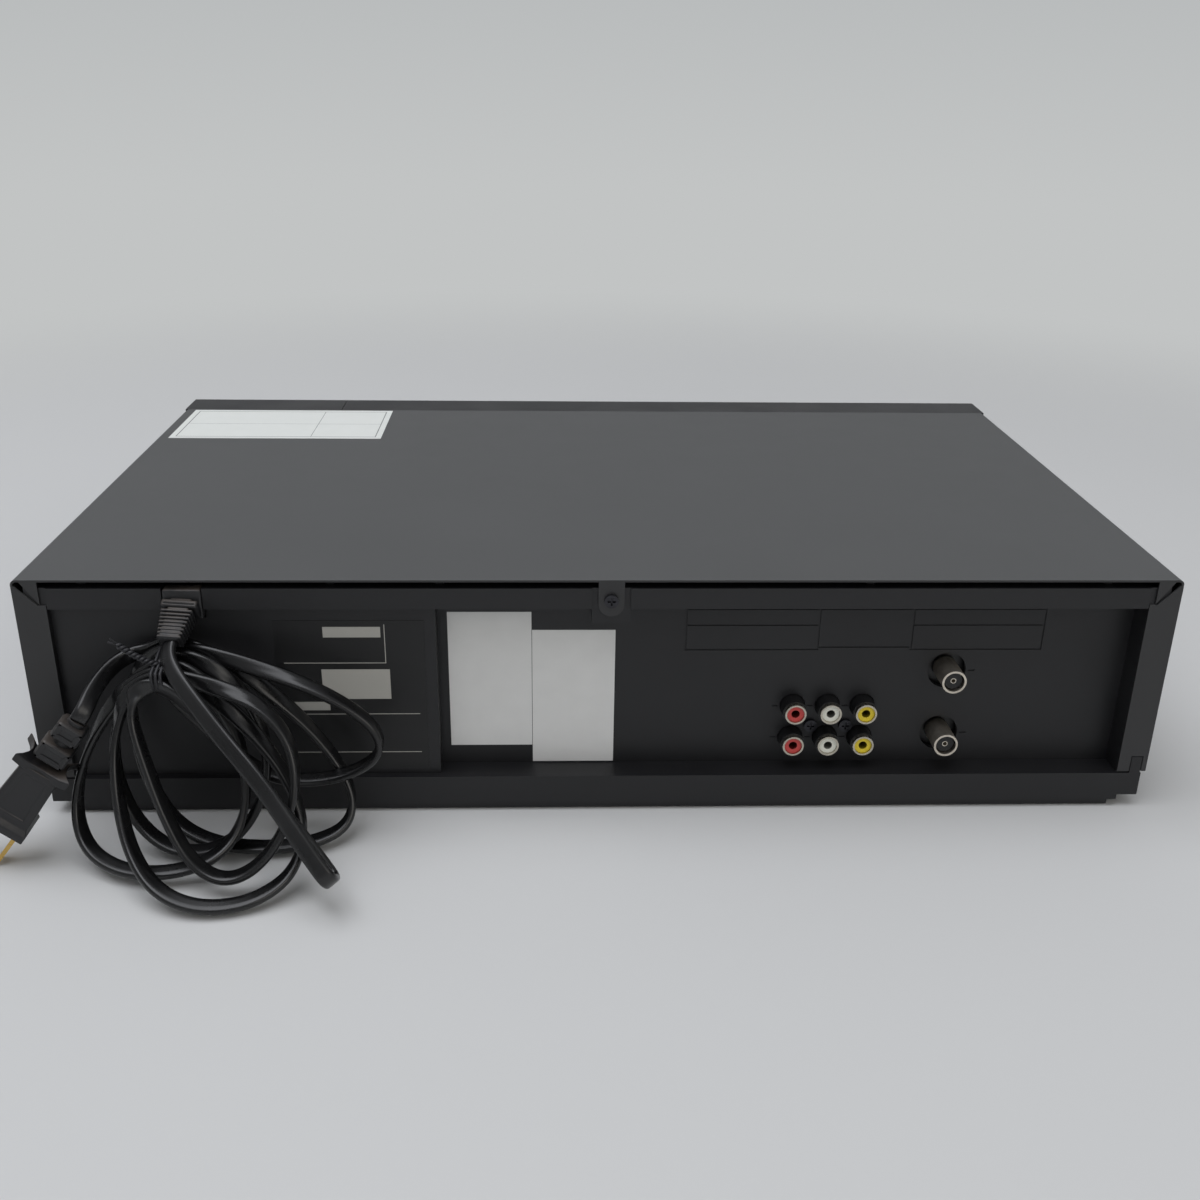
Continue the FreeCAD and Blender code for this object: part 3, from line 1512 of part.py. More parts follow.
def loading_motor():
    centre = ("wormY", "wormZ")
    can = rod("x", centre, "camX - 44 to camX - 16", "motorRadius")
    boss = rod("x", centre, "camX - 16 to camX - 14", "3")
    cradle = box("camX - 40 to camX - 20", "wormY - 6 to wormY + 6", "deckTop to wormZ - 5")
    bearing = box("camX + 11 to camX + 14", "wormY - 4 to wormY + 4", "deckTop to wormZ + 4")
    bore = rod("x", centre, "camX - 25 to camX + 15", "1 + shaftGap")
    motor = cut(fuse(can, boss, cradle), bore)
    return finished("loading_motor", group(motor, cut(bearing, bore)))


# Boards: the main board under the deck and the power board beside it
def board_screw_holes():
    holes = []
    for place in bottom_screw_places():
        holes.append(rod("z", place, "ledgeTop - 1 to mainBoardTop + 1", "screwHeadRadius"))
    return holes


def main_board():
    pieces = [
        box(
            "-frameInner + 2 to deckHalf + 2",
            "postFrontY + 5 to rearFace - 15",
            "ledgeTop to mainBoardTop",
        ),
    ]
    chips = ((-192, -70, 20, 24), (-160, -70, 20, 14), (-188, -20, 24, 18), (-150, -25, 16, 30))
    for x, y, width, depth in chips:
        pieces.append(box(
            "%d to %d" % (x, x + width),
            "%d to %d" % (y, y + depth),
            "mainBoardTop - 0.5 to mainBoardTop + 3",
        ))
    cans = (
        (-190, 20, 5, 16), (-176, 22, 5, 16), (-190, 60, 6.5, 22),
        (-172, 62, 4, 12), (-160, -40, 4, 12),
    )
    for x, y, radius, height in cans:
        span = "mainBoardTop - 0.5 to mainBoardTop + %g" % height
        pieces.append(rod("z", (str(x), str(y)), span, str(radius)))
    holes = board_screw_holes()
    for side in both_sides:
        place = ("%d * postX" % side, "postRearY")
        holes.append(rod("z", place, "frameFoot to deckTop", "postRadius + 1"))
    return finished("main_board", cut(fuse(*pieces), *holes))


def power_board():
    floor = "mainBoardTop - 0.5 to "
    pieces = [
        box(
            "deckHalf + 6 to frameInner - 2",
            "postFrontY + 5 to postRearY + beamWidth",
            "ledgeTop to mainBoardTop",
        ),
        box("130 to 164", "-10 to 22", floor + "mainBoardTop + 28"),
        box("136 to 158", "-14 to 26", floor + "mainBoardTop + 20"),
        box("172 to 198", "60 to 80", floor + "mainBoardTop + 22"),
        rod("z", ("184", "34"), floor + "mainBoardTop + 34", "12.5"),
        rod("z", ("140", "-45"), floor + "mainBoardTop + 20", "8"),
        rod("z", ("160", "-45"), floor + "mainBoardTop + 20", "8"),
        box("134 to 150", "66 to 88", floor + "mainBoardTop + 14"),
    ]
    for step in range(7):
        x = 174 + 4 * step
        pieces.append(box("%d to %d" % (x, x + 2), "-60 to -20", floor + "mainBoardTop + 40"))
    pieces.append(box("174 to 200", "-42 to -38", floor + "mainBoardTop + 40"))
    return finished("power_board", cut(fuse(*pieces), *board_screw_holes()))


# Tuner in its steel can, standing on the main board behind the antenna sockets
def tuner_can():
    can = box(
        "antennaX - 15 to antennaX + 15",
        "42 to recessBack - 1.5",
        "mainBoardTop to antennaInZ + 16",
    )
    lids = [
        box(
            "antennaX - 15.4 to antennaX - 15",
            "46 to recessBack - 6",
            "mainBoardTop + 3 to antennaInZ + 12",
        ),
        box(
            "antennaX + 15 to antennaX + 15.4",
            "46 to recessBack - 6",
            "mainBoardTop + 3 to antennaInZ + 12",
        ),
    ]
    return finished("tuner_can", fuse(can, *lids))


# Antenna sockets: nickel-plated barrels with an insulator and a centre contact
def antenna_sockets():
    sockets = []
    for z in ("antennaInZ", "antennaOutZ"):
        centre = ("antennaX", z)
        barrel = rod("y", centre, "recessBack - 1.5 to rearFace - 0.2", "antennaRadius")
        bore = rod("y", centre, "rearFace - 9 to rearFace", "antennaRadius - 0.8")
        insulator = rod("y", centre, "rearFace - 9.5 to rearFace - 1.6", "antennaRadius - 1.3")
        neck = rod("y", centre, "rearFace - 9.5 to rearFace - 8", "antennaRadius - 0.5")
        hole = rod("y", centre, "rearFace - 7 to rearFace", "0.8")
        sockets.append(cut(fuse(cut(barrel, bore), insulator, neck), hole))
    return finished("antenna_sockets", group(*sockets))


# Line sockets: a black block with six collars, a metal ring and a coloured insert in each
def jack_block():
    last = "jackFirstX - 2 * jackPitchX"
    pieces = [box(
        "%s - 7 to jackFirstX + 7" % last,
        "recessBack - 15 to recessBack - touchGap",
        "mainBoardTop to jackInZ + 7",
    )]
    bores = []
    for x, z in jack_places():
        pieces.append(rod("y", (x, z), "recessBack - 1 to collarFace", "jackCollarRadius"))
        bores.append(rod("y", (x, z), "recessBack - 10 to collarFace + 1", "jackRingRadius + touchGap"))
    for x in jack_screw_places():
        bores.append(rod(
            "y",
            (x, "jackScrewZ"),
            "recessBack - 8 to recessBack + 1",
            "screwRadius + touchGap",
        ))
    return finished("jack_block", cut(fuse(*pieces), *bores))


def jack_rings():
    rings = []
    for x, z in jack_places():
        ring = rod("y", (x, z), "recessBack - 10 to ringFace", "jackRingRadius")
        bore = rod("y", (x, z), "recessBack - 11 to ringFace + 1", "jackRingRadius - 0.7")
        rings.append(cut(ring, bore))
    return finished("jack_rings", group(*rings))


def jack_inserts():
    inserts = []
    for x, z in jack_places():
        plug = rod("y", (x, z), "recessBack - 10 to ringFace - 0.8", "jackRingRadius - 0.7 - touchGap")
        hole = rod("y", (x, z), "recessBack - 4 to ringFace", "1.6")
        inserts.append(cut(plug, hole))
    return finished("jack_inserts", group(*inserts))


# Labels: thin sheets on the rear panel and on the cover
def rating_label():
    return finished("rating_label", box(
        "67.8 to 123.5",
        "plateauFace to plateauFace + labelSheet",
        "18.4 to bandBottom - 5.7",
    ))


def white_stickers():
    first = box("28 to 59.8", "recessFace to recessFace + labelSheet", "23.5 to bandBottom - 5.8")
    second = box("-4 to 27.8", "recessFace to recessFace + labelSheet", "16 to 73.2")
    return finished("white_stickers", group(first, second))


def top_label():
    return finished("top_label", box(
        "105 to 209",
        "-104 to -50.3",
        "caseHeight to caseHeight + labelSheet",
    ))


# A piece made along local +Z, set at a point and turned to a heading
def aimed(piece, point, heading, across=Vector(0, 1, 0)):
    side = across.cross(heading)
    frame = Rotation(side.normalize(), heading.cross(side), heading, "ZXY")
    piece.Placement = FreeCAD.Placement(point, frame)
    return piece


def relief_axis():
    end = Vector(number("reliefEndX"), number("reliefEndY"), number("reliefEndZ"))
    start = Vector(number("leadNotchX"), number("rearFace - 1"), number("reliefEndZ + reliefRise"))
    return start, end


# Strain relief: a square head in the panel's notch and ribs that taper along the lead
def strain_relief():
    half = "leadNotchWidth / 2 - touchGap"
    head = box(
        "leadNotchX - (%s) to leadNotchX + %s" % (half, half),
        "rearFace + 0.5 - reliefHead to rearFace + 0.5",
        "leadNotchBottom + fitGap to bandTop - 0.2",
    )
    start, end = relief_axis()
    length = (end - start).Length
    ribs = []
    count = int(number("reliefRibs"))
    for step in range(count):
        share = (step + 1) / count
        radius = "reliefWide + (reliefNarrow - reliefWide) * %.4f" % share
        top = length * share
        ribs.append(rod("z", ("0", "0"), "%.4f to %.4f" % (top - 1.3, top), radius))
    core = cone("z", ("0", "0"), "0 to %.4f" % length, "reliefWide - 1.4", "reliefNarrow - 0.9")
    body = aimed(fuse(core, *ribs), start, (end - start).normalize())
    return finished("strain_relief", fuse(head, body))


# Turns of the lead: where each reaches the floor, half its width and the shift of its belly
lead_turns = [
    ((133, 190, 6), (26, 1, -2.5), (-8.5, -5, 8.7)),
    ((139.5, 201.7, 3.5), (32.5, 0, 3), (-8.3, -4, -11)),
    ((158.2, 184, 5.7), (31.5, 0.1, -2.4), (3.8, -6, -14.9)),
    ((146, 169.5, 4.5), (28, 1, -6), (0.3, -5.7, -3.3)),
    ((109.9, 151.7, 24), (30.6, -3.4, -3.9), (-17.5, -0.5, -4)),
    ((128, 166.2, 4.3), (38, 0.1, 1), (-9.5, -6.3, -18.1)),
]

# Points and headings of the lead before its first turn and after its last one
lead_start = [
    ((146.5, 168.4, 69.8), (-0.5, 0.45, -0.75)),
    ((120, 187, 45), (-0.6, 0.45, -0.67)),
    ((99.6, 203, 21.5), (-0.62, 0.45, -0.64)),
    ((99.6, 194.2, 15.5), (0.62, -0.45, 0.64)),
    ((128, 174.4, 43.5), (0.6, -0.4, 0.67)),
]
lead_end = [
    ((172.8, 136.6, 71.1), (0.9, 0.22, -0.35)),
    ((182, 148, 67.1), (0.45, 0.85, -0.25)),
]

plug_heading = Vector(0.615, 0.03, -0.788).normalize()


def plug_entry():
    return Vector(number("plugX"), number("plugY"), number("plugZ"))


# The lead's places at the tie lie one pitch apart, from the outermost back to the case
def tie_row():
    return Vector(0, -0.97, 0.24).normalize()


def tie_place(index):
    front = Vector(number("tieX"), number("tieY"), number("tieZ"))
    return front + tie_row() * number("leadPitch") * index


# A point of one turn, a quarter of it being 90 degrees
def turn_point(index, angle):
    foot, half_width, belly = (Vector(*values) for values in lead_turns[index])
    top = tie_place(index)
    swing = math.sin(math.radians(angle))
    fall = (1 - math.cos(math.radians(angle))) / 2
    return top + (foot - top) * fall + half_width * swing + belly * swing * swing


def lead_knots():
    start, end = relief_axis()
    heading = (end - start).normalize()
    thick = number("leadThickness")
    knots = [(end, heading), (end + heading * thick * 1.2, heading)]
    knots += [(Vector(*point), Vector(*way).normalize()) for point, way in lead_start]
    for index, (foot, half_width, belly) in enumerate(lead_turns):
        fall = (Vector(*foot) - tie_place(index)).normalize()
        sideways = Vector(*half_width).normalize()
        knots.append((turn_point(index, 0), Vector(1, 0, 0)))
        knots.append((turn_point(index, 90), fall))
        knots.append((turn_point(index, 180), -sideways))
        knots.append((turn_point(index, 270), -fall))
    knots.append((tie_place(len(lead_turns)), Vector(1, 0, -0.1).normalize()))
    knots += [(Vector(*point), Vector(*way).normalize()) for point, way in lead_end]
    knots.append((plug_entry() - plug_heading * thick * 1.2, plug_heading))
    knots.append((plug_entry(), plug_heading))
    return knots


# An arc that leaves a point along a heading and ends at another point: edge, radius, samples
def arc_from(point, heading, goal):
    chord = goal - point
    angle = chord.getAngle(heading)
    if angle < 0.0005:
        return Part.LineSegment(point, goal).toShape(), None
    radius = chord.Length / (2 * math.sin(angle))
    inward = (chord - heading * chord.dot(heading)).normalize()
    centre = point + inward * radius
    middle = centre + (heading * math.sin(angle) - inward * math.cos(angle)) * radius
    return Part.Arc(point, middle, goal).toShape(), radius


# Two arcs that meet smoothly between two points with headings
def biarc(start, start_heading, end, end_heading):
    across = end - start
    both = start_heading + end_heading
    spread = 2 * (1 - start_heading.dot(end_heading))
    along = across.dot(both)
    if spread < 0.000001:
        reach = across.dot(across) / (4 * across.dot(start_heading))
    else:
        reach = (math.sqrt(along * along + spread * across.dot(across)) - along) / spread
    middle = (start + end + (start_heading - end_heading) * reach) / 2
    first, first_radius = arc_from(start, start_heading, middle)
    second, second_radius = arc_from(end, -end_heading, middle)
    return [first, second], [first_radius, second_radius]


# Mains lead: one tube from the strain relief through all its turns to the plug
def mains_lead():
    knots = lead_knots()
    edges = []
    radii = []
    for (start, start_heading), (end, end_heading) in zip(knots, knots[1:]):
        pair, sizes_of_pair = biarc(start, start_heading, end, end_heading)
        edges += pair
        radii += [radius for radius in sizes_of_pair if radius]
    path = Part.Wire(Part.__sortEdges__(edges))
    thick = number("leadThickness")
    section = Part.Wire(Part.Circle(knots[0][0], knots[0][1], thick / 2).toShape())
    lead = doc.addObject("Part::Feature", "Lead")
    lead.Shape = path.makePipeShell([section], True, False)
    expected = math.pi * thick ** 2 / 4 * path.Length
    print("lead: %.0f mm long, least radius %.1f mm" % (path.Length, min(radii)))
    print("lead: volume %.4f of its section times its length" % (lead.Shape.Volume / expected))
    print("lead: least gap to itself %.2f mm" % (least_gap(path) - thick))
    return finished("mains_lead", lead)


# The least distance between two places of a path that are far apart along it
def least_gap(path):
    spacing = 1.5
    points = path.discretize(int(path.Length / spacing))
    apart = int(4 * number("leadThickness") / spacing)
    return min(
        point.distanceToPoint(other)
        for index, point in enumerate(points)
        for other in points[index + apart:]
    )


# Twist tie: a flat band round the row of strands, with its two ends twisted together
def twist_tie():
    clear = "leadThickness / 2 + fitGap"
    row = "leadPitch * %d" % len(lead_turns)
    width = "-tieWidth / 2 to tieWidth / 2"

    def loop(stand_off, span):
        return fuse(
            box("0 to %s" % row, "-(%s) to %s" % (stand_off, stand_off), span),
            rod("z", ("0", "0"), span, stand_off),
            rod("z", (row, "0"), span, stand_off),
        )

    band = cut(loop(clear + " + tieBand", width), loop(clear, "-tieWidth to tieWidth"))
    along = tie_row()
    frame = Rotation(along, Vector(1, 0, 0).cross(along), Vector(1, 0, 0), "ZXY")
    band.Placement = FreeCAD.Placement(tie_place(0), frame)
    root = tie_place(2) + Vector(1.0, 0, number(clear + " + tieBand") + 0.5)
    tip = root + Vector(17, 1, 9)
    length = (tip - root).Length
    ends = fuse(
        rod("z", ("0.4", "0"), "-0.8 to %.3f" % length, "0.7"),
        rod("z", ("-0.4", "0"), "-0.8 to %.3f" % (length - 4), "0.7"),
    )
    aimed(ends, root, (tip - root).normalize())
    return finished("twist_tie", fuse(band, ends))


# Plug: a ribbed neck, finger wings, a tapering body and a flared end, along its own axis
def plug():
    neck = "plugNeck"
    pieces = [
        cone("z", ("0", "0"), "0 to " + neck, "leadThickness / 2 + 1.6", "leadThickness / 2 + 3.4"),
        rod("z", ("0", "0"), "0 to 3", "leadThickness / 2 + 2.6"),
        rod("z", ("0", "0"), "5 to 8.5", "leadThickness / 2 + 3.2"),
        rod("z", ("0", "0"), "10.5 to 14", "leadThickness / 2 + 3.6"),
        rod("z", ("0", "0"), "16 to 19.5", "leadThickness / 2 + 4"),
        box(
            "-plugWidth / 2 to plugWidth / 2",
            "-plugDepth / 2 + 1 to plugDepth / 2 - 1",
            neck + " - 4 to " + neck,
        ),
    ]
    body = doc.addObject("Part::Wedge", "PlugBody")
    wedge = {
        "Xmin": "-plugWidth / 2 + 4.5", "Xmax": "plugWidth / 2 - 4.5",
        "Zmin": "-plugDepth / 2 + 2.5", "Zmax": "plugDepth / 2 - 2.5",
        "X2min": "-plugWidth / 2 + 1.5", "X2max": "plugWidth / 2 - 1.5",
        "Z2min": "-plugDepth / 2 + 1", "Z2max": "plugDepth / 2 - 1",
        "Ymin": neck + " - 0.5", "Ymax": neck + " + plugBody",
    }
    for side, text in wedge.items():
        body.setExpression(side, bound(text))
    body.Placement = FreeCAD.Placement(Vector(), Rotation(Vector(1, 0, 0), 90))
    pieces.append(body)
    face = "%s + plugBody - 0.5 to %s + plugBody + plugFlange" % (neck, neck)
    pieces.append(box("-plugWidth / 2 to plugWidth / 2", "-plugDepth / 2 to plugDepth / 2", face))
    whole = fuse(*pieces)
    slots = plug_blade_blocks("%s + plugBody - 6" % neck, "touchGap")
    return finished("plug", aimed(cut(whole, *slots), plug_entry(), Vector(plug_heading)))


def plug_blade_blocks(low, gap):
    high = "plugNeck + plugBody + plugFlange + bladeLength"
    blades = []
    for side in both_sides:
        middle = "%d * bladeSpacing / 2" % side
        blades.append(box(
            "%s - bladeThickness / 2 - %s to %s + bladeThickness / 2 + %s" % (middle, gap, middle, gap),
            "-bladeWidth / 2 - %s to bladeWidth / 2 + %s" % (gap, gap),
            "%s to %s" % (low, high),
        ))
    return blades


def plug_blades():
    blades = group(*plug_blade_blocks("plugNeck + plugBody - 6 + touchGap", "0"))
    return finished("plug_blades", aimed(blades, plug_entry(), Vector(plug_heading)))


makers = [
    top_cover, base_frame, rear_panel, bottom_plate, feet, screws, front_panel, control_panel,
    cassette_door, door_spring, display_window, display_tube, front_board, deck_plate,
    carriage_slides, cassette_holder, lower_drum, upper_drum, capstan, capstan_housing,
    clutch_pulley, drive_belt, idler_arm, idler_wheel, pinch_arm, pinch_roller, erase_head,
    audio_control_head, cam_gear, motor_worm, loading_motor, main_board, power_board, tuner_can,
    antenna_sockets, jack_block, jack_rings, jack_inserts, rating_label, white_stickers, top_label,
    strain_relief, mains_lead, twist_tie, plug, plug_blades,
]
for maker in makers:
    maker()
side_bracket("left_bracket", -1)
side_bracket("right_bracket", 1)
reel("supply_reel", -1)
reel("takeup_reel", 1)
guide_post("supply_guide", "-guideStartX", "guideStartY")
guide_post("takeup_guide", "takeupStartX", "takeupStartY")
for name, (x, z, width, height) in buttons.items():
    button(name, x, z, width, height)

doc.recompute()

# Every object has to be sound before anything is written
failed = [item.Name for item in doc.Objects if {"Invalid", "Error"} & set(item.State)]
failed += [item.Label for item in parts if item.Shape.isNull() or not item.Shape.isValid()]
if failed:
    raise RuntimeError("not sound: " + ", ".join(failed))
for item in parts:
    item.Shape.exportStep("parts/" + item.Label + ".step")
    print("%-20s %3d solids %12.1f mm3" % (item.Label, len(item.Shape.Solids), item.Shape.Volume))
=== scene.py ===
import math

import bpy
from mathutils import Matrix, Vector


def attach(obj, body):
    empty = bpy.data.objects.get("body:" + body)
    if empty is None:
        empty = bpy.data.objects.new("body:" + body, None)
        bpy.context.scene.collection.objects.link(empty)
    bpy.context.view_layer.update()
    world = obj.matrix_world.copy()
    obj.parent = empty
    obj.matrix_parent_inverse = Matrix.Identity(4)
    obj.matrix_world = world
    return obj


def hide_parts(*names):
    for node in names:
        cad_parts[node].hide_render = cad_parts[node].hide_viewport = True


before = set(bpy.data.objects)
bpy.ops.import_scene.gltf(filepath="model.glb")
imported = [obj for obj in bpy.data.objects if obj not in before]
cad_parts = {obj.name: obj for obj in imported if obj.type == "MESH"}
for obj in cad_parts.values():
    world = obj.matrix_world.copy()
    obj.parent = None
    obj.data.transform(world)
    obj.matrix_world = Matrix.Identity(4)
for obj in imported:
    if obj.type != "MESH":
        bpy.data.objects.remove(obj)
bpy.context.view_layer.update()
mm = 0.001
print("frame loaded")

# The photograph was taken from behind and above, with the phone tilted slightly
photoCamera = {
    "place": (0.0203, 0.5661, 0.2742),
    "right": (-0.9993, 0.0350, 0.0143),
    "up": (-0.0006, -0.3925, 0.9197),
    "back": (0.0378, 0.9191, 0.3923),
    "lens": 38.28,
    "sensor": 36.0,
    "clip": (0.02, 50),
}


def makeCamera():
    data = bpy.data.cameras.new("photoCamera")
    data.lens = photoCamera["lens"]
    data.sensor_width = photoCamera["sensor"]
    data.clip_start, data.clip_end = photoCamera["clip"]
    camera = bpy.data.objects.new("photoCamera", data)
    bpy.context.scene.collection.objects.link(camera)
    columns = [photoCamera["right"], photoCamera["up"], photoCamera["back"]]
    turn = Matrix(columns).transposed().to_quaternion().to_matrix().to_4x4()
    camera.matrix_world = Matrix.Translation(photoCamera["place"]) @ turn
    bpy.context.scene.camera = camera


makeCamera()


def linear(hexText):
    values = [int(hexText[i:i + 2], 16) / 255 for i in (0, 2, 4)]
    curve = [v / 12.92 if v <= 0.04045 else ((v + 0.055) / 1.055) ** 2.4 for v in values]
    return (*curve, 1)


def addNode(tree, kind, inputs=None, **settings):
    node = tree.nodes.new(kind)
    for key, value in settings.items():
        setattr(node, key, value)
    for socket, value in (inputs or {}).items():
        if isinstance(value, bpy.types.NodeSocket):
            tree.links.new(value, node.inputs[socket])
        else:
            node.inputs[socket].default_value = value
    return node


def newFinish(name, roughness, metallic=0.0, ior=1.5, coat=0.0):
    material = bpy.data.materials.new(name)
    material.use_nodes = True
    tree = material.node_tree
    shader = tree.nodes["Principled BSDF"]
    settings = {"Roughness": roughness, "Metallic": metallic, "IOR": ior, "Coat Weight": coat}
    for socket, value in {**settings, "Coat Roughness": 0.12}.items():
        shader.inputs[socket].default_value = value
    place = addNode(tree, "ShaderNodeTexCoord").outputs["Object"]
    return material, tree, shader, place


# Fine lumps in the surface: size and height in millimetres
def grainBump(tree, shader, place, size, height, detail=2.0):
    lumps = addNode(tree, "ShaderNodeTexNoise", {"Vector": place, "Scale": 1000 / size, "Detail": detail})
    bump = addNode(tree, "ShaderNodeBump", {"Height": lumps.outputs["Fac"], "Distance": height * mm})
    tree.links.new(bump.outputs["Normal"], shader.inputs["Normal"])


# Slow drift of tone and gloss over the surface, patches given in millimetres
def patchyTone(tree, shader, place, dark, light, patch, rough=None):
    cloud = addNode(tree, "ShaderNodeTexNoise", {"Vector": place, "Scale": 1000 / patch, "Detail": 4.0})
    tone = addNode(
        tree,
        "ShaderNodeMix",
        {0: cloud.outputs["Fac"], 6: linear(dark), 7: linear(light)},
        data_type="RGBA",
    )
    tree.links.new(tone.outputs[2], shader.inputs["Base Color"])
    if rough:
        gloss = addNode(
            tree,
            "ShaderNodeMapRange",
            {
                "Value": cloud.outputs["Fac"],
                "From Min": 0.3,
                "From Max": 0.7,
                "To Min": rough[0],
                "To Max": rough[1],
            },
        )
        tree.links.new(gloss.outputs["Result"], shader.inputs["Roughness"])
    return tone


# Satin stoving paint on steel: fine orange peel, black on its sides, paler grey on top as dust with
# painted sheen where the top catches the light
def stovedPaint():
    material, tree, shader, place = newFinish("satin_black_stoving_paint", 0.42, ior=1.6)
    grainBump(tree, shader, place, size=1.1, height=0.010)
    dustAndSheenTone = patchyTone(tree, shader, place, "4a4b4b", "545555", patch=60, rough=(0.4, 0.48))
    # Upward faces take the paler grey: dust, with painted sheen from the light above
    normal = addNode(tree, "ShaderNodeNewGeometry").outputs["Normal"]
    upward = addNode(tree, "ShaderNodeSeparateXYZ", {"Vector": normal}).outputs["Z"]
    topDustAndSheenShare = addNode(tree, "ShaderNodeMapRange", {"Value": upward, "From Min": 0.3, "From Max": 0.9})
    tone = addNode(
        tree,
        "ShaderNodeMix",
        {0: topDustAndSheenShare.outputs["Result"], 6: linear("1e1e1f"), 7: dustAndSheenTone.outputs[2]},
        data_type="RGBA",
    )
    tree.links.new(tone.outputs[2], shader.inputs["Base Color"])
    return material


# Injection moulded polystyrene: spark eroded grain, slightly dusty in places
def mouldedPlastic(name, dark, light, rough, grain, height):
    material, tree, shader, place = newFinish(name, rough[0], ior=1.49)
    grainBump(tree, shader, place, grain, height)
    patchyTone(tree, shader, place, dark, light, 35, rough)
    return material


# Polished plastic with faint handling marks
def polishedPlastic(name, colour, roughness=0.08, coat=0.3):
    material, tree, shader, place = newFinish(name, roughness, ior=1.49, coat=coat)
    shader.inputs["Base Color"].default_value = linear(colour)
    smears = addNode(tree, "ShaderNodeTexNoise", {"Vector": place, "Scale": 1000 / 14, "Detail": 5.0})
    gloss = addNode(
        tree,
        "ShaderNodeMapRange",
        {"Value": smears.outputs["Fac"], "To Min": roughness * 0.6, "To Max": roughness * 2.2},
    )
    tree.links.new(gloss.outputs["Result"], shader.inputs["Roughness"])
    return material


zincTones = ("9c9d9a", "c4c5c0")
zincSpangle = 9
canShadeFace = 119.8  # painted shade covers the can from here backwards


# Zinc plate on rolled sheet: cool grey with a soft spangle and faint rolling streaks
def zincPlate():
    material, tree, shader, place = newFinish("zinc_plated_sheet", 0.34, metallic=1.0)
    patchyTone(tree, shader, place, *zincTones, zincSpangle, (0.26, 0.42))
    long = addNode(tree, "ShaderNodeMapping", {"Vector": place, "Scale": (0.06, 1.0, 1.0)})
    streaks = addNode(tree, "ShaderNodeTexNoise", {"Vector": long.outputs["Vector"], "Scale": 1000 / 0.8})
    bump = addNode(tree, "ShaderNodeBump", {"Height": streaks.outputs["Fac"], "Distance": 0.004 * mm})
    tree.links.new(bump.outputs["Normal"], shader.inputs["Normal"])
    return material


# Tuner can: zinc plate, painted black on the side of the sockets as shade in the dark gap behind the
# panel's holes
def shadedCan():
    material, tree, shader, place = newFinish("zinc_can_with_painted_shade", 0.36)
    depth = addNode(tree, "ShaderNodeSeparateXYZ", {"Vector": place}).outputs["Y"]
    inShade = addNode(tree, "ShaderNodeMath", {0: depth, 1: canShadeFace * mm}, operation="GREATER_THAN")
    plate = patchyTone(tree, shader, place, *zincTones, zincSpangle)
    # Painted shade: black over the zinc from the shaded face backwards
    tone = addNode(
        tree,
        "ShaderNodeMix",
        {0: inShade.outputs[0], 6: plate.outputs[2], 7: linear("0c0c0c")},
        data_type="RGBA",
    )
    bare = addNode(tree, "ShaderNodeMath", {0: 1.0, 1: inShade.outputs[0]}, operation="SUBTRACT")
    tree.links.new(tone.outputs[2], shader.inputs["Base Color"])
    tree.links.new(bare.outputs[0], shader.inputs["Metallic"])
    grainBump(tree, shader, place, size=0.8, height=0.006)
    return material


# Metal turned in a lathe: rings 0.6 mm apart round an upright axis
def turnedMetal(name, dark, light, axis, roughness):
    material, tree, shader, place = newFinish(name, roughness, metallic=1.0)
    patchyTone(tree, shader, place, dark, light, 7, (roughness * 0.92, roughness * 1.12))
    centred = addNode(tree, "ShaderNodeMapping", {"Vector": place, "Location": (-axis[0], -axis[1], 0)})
    rings = addNode(
        tree,
        "ShaderNodeTexWave",
        {"Vector": centred.outputs["Vector"], "Scale": 1000 / 0.6 / 20, "Distortion": 0.3},
        wave_type="RINGS",
        rings_direction="Z",
    )
    bump = addNode(tree, "ShaderNodeBump", {"Height": rings.outputs["Fac"], "Distance": 0.006 * mm})
    tree.links.new(bump.outputs["Normal"], shader.inputs["Normal"])
    return material


# Plated metal: bright, a little cloudy, with fine scratches
def platedMetal(name, dark, light, roughness):
    material, tree, shader, place = newFinish(name, roughness, metallic=1.0)
    patchyTone(tree, shader, place, dark, light, 2.5, (roughness * 0.7, roughness * 1.5))
    grainBump(tree, shader, place, size=0.5, height=0.006, detail=4.0)
    return material


# Blackened steel of the case screws: oily dark grey with worn crests
def blackOxide():
    material, tree, shader, place = newFinish("blackened_screw_steel", 0.4, metallic=0.85)
    patchyTone(tree, shader, place, "26262a", "4a4a4e", patch=1.6, rough=(0.3, 0.5))
    grainBump(tree, shader, place, size=0.4, height=0.008)
    return material


# Moulded rubber: dull, with a powdery bloom
def mouldedRubber():
    material, tree, shader, place = newFinish("moulded_black_rubber", 0.75)
    patchyTone(tree, shader, place, "191919", "232322", patch=8, rough=(0.68, 0.85))
    grainBump(tree, shader, place, size=0.7, height=0.02)
    return material


# Acetal of gears and reels: milky, smooth, a little waxy
def acetal(name, dark, light):
    material, tree, shader, place = newFinish(name, 0.42, ior=1.48)
    patchyTone(tree, shader, place, dark, light, 20, (0.36, 0.5))
    grainBump(tree, shader, place, size=0.8, height=0.008)
    return material


# Flexible PVC of the lead: soft sheen with a pale bloom and faint draw lines along it
def flexiblePvc():
    material, tree, shader, place = newFinish("flexible_black_pvc", 0.34, ior=1.54)
    patchyTone(tree, shader, place, "09090a", "131314", patch=22, rough=(0.2, 0.36))
    along = addNode(tree, "ShaderNodeUVMap", uv_map="alongLead")
    drawn = addNode(tree, "ShaderNodeMapping", {"Vector": along.outputs["UV"], "Scale": (40, 1.5, 1)})
    lines = addNode(tree, "ShaderNodeTexNoise", {"Vector": drawn.outputs["Vector"], "Scale": 1.0})
    bump = addNode(tree, "ShaderNodeBump", {"Height": lines.outputs["Fac"], "Distance": 0.012 * mm})
    tree.links.new(bump.outputs["Normal"], shader.inputs["Normal"])
    return material
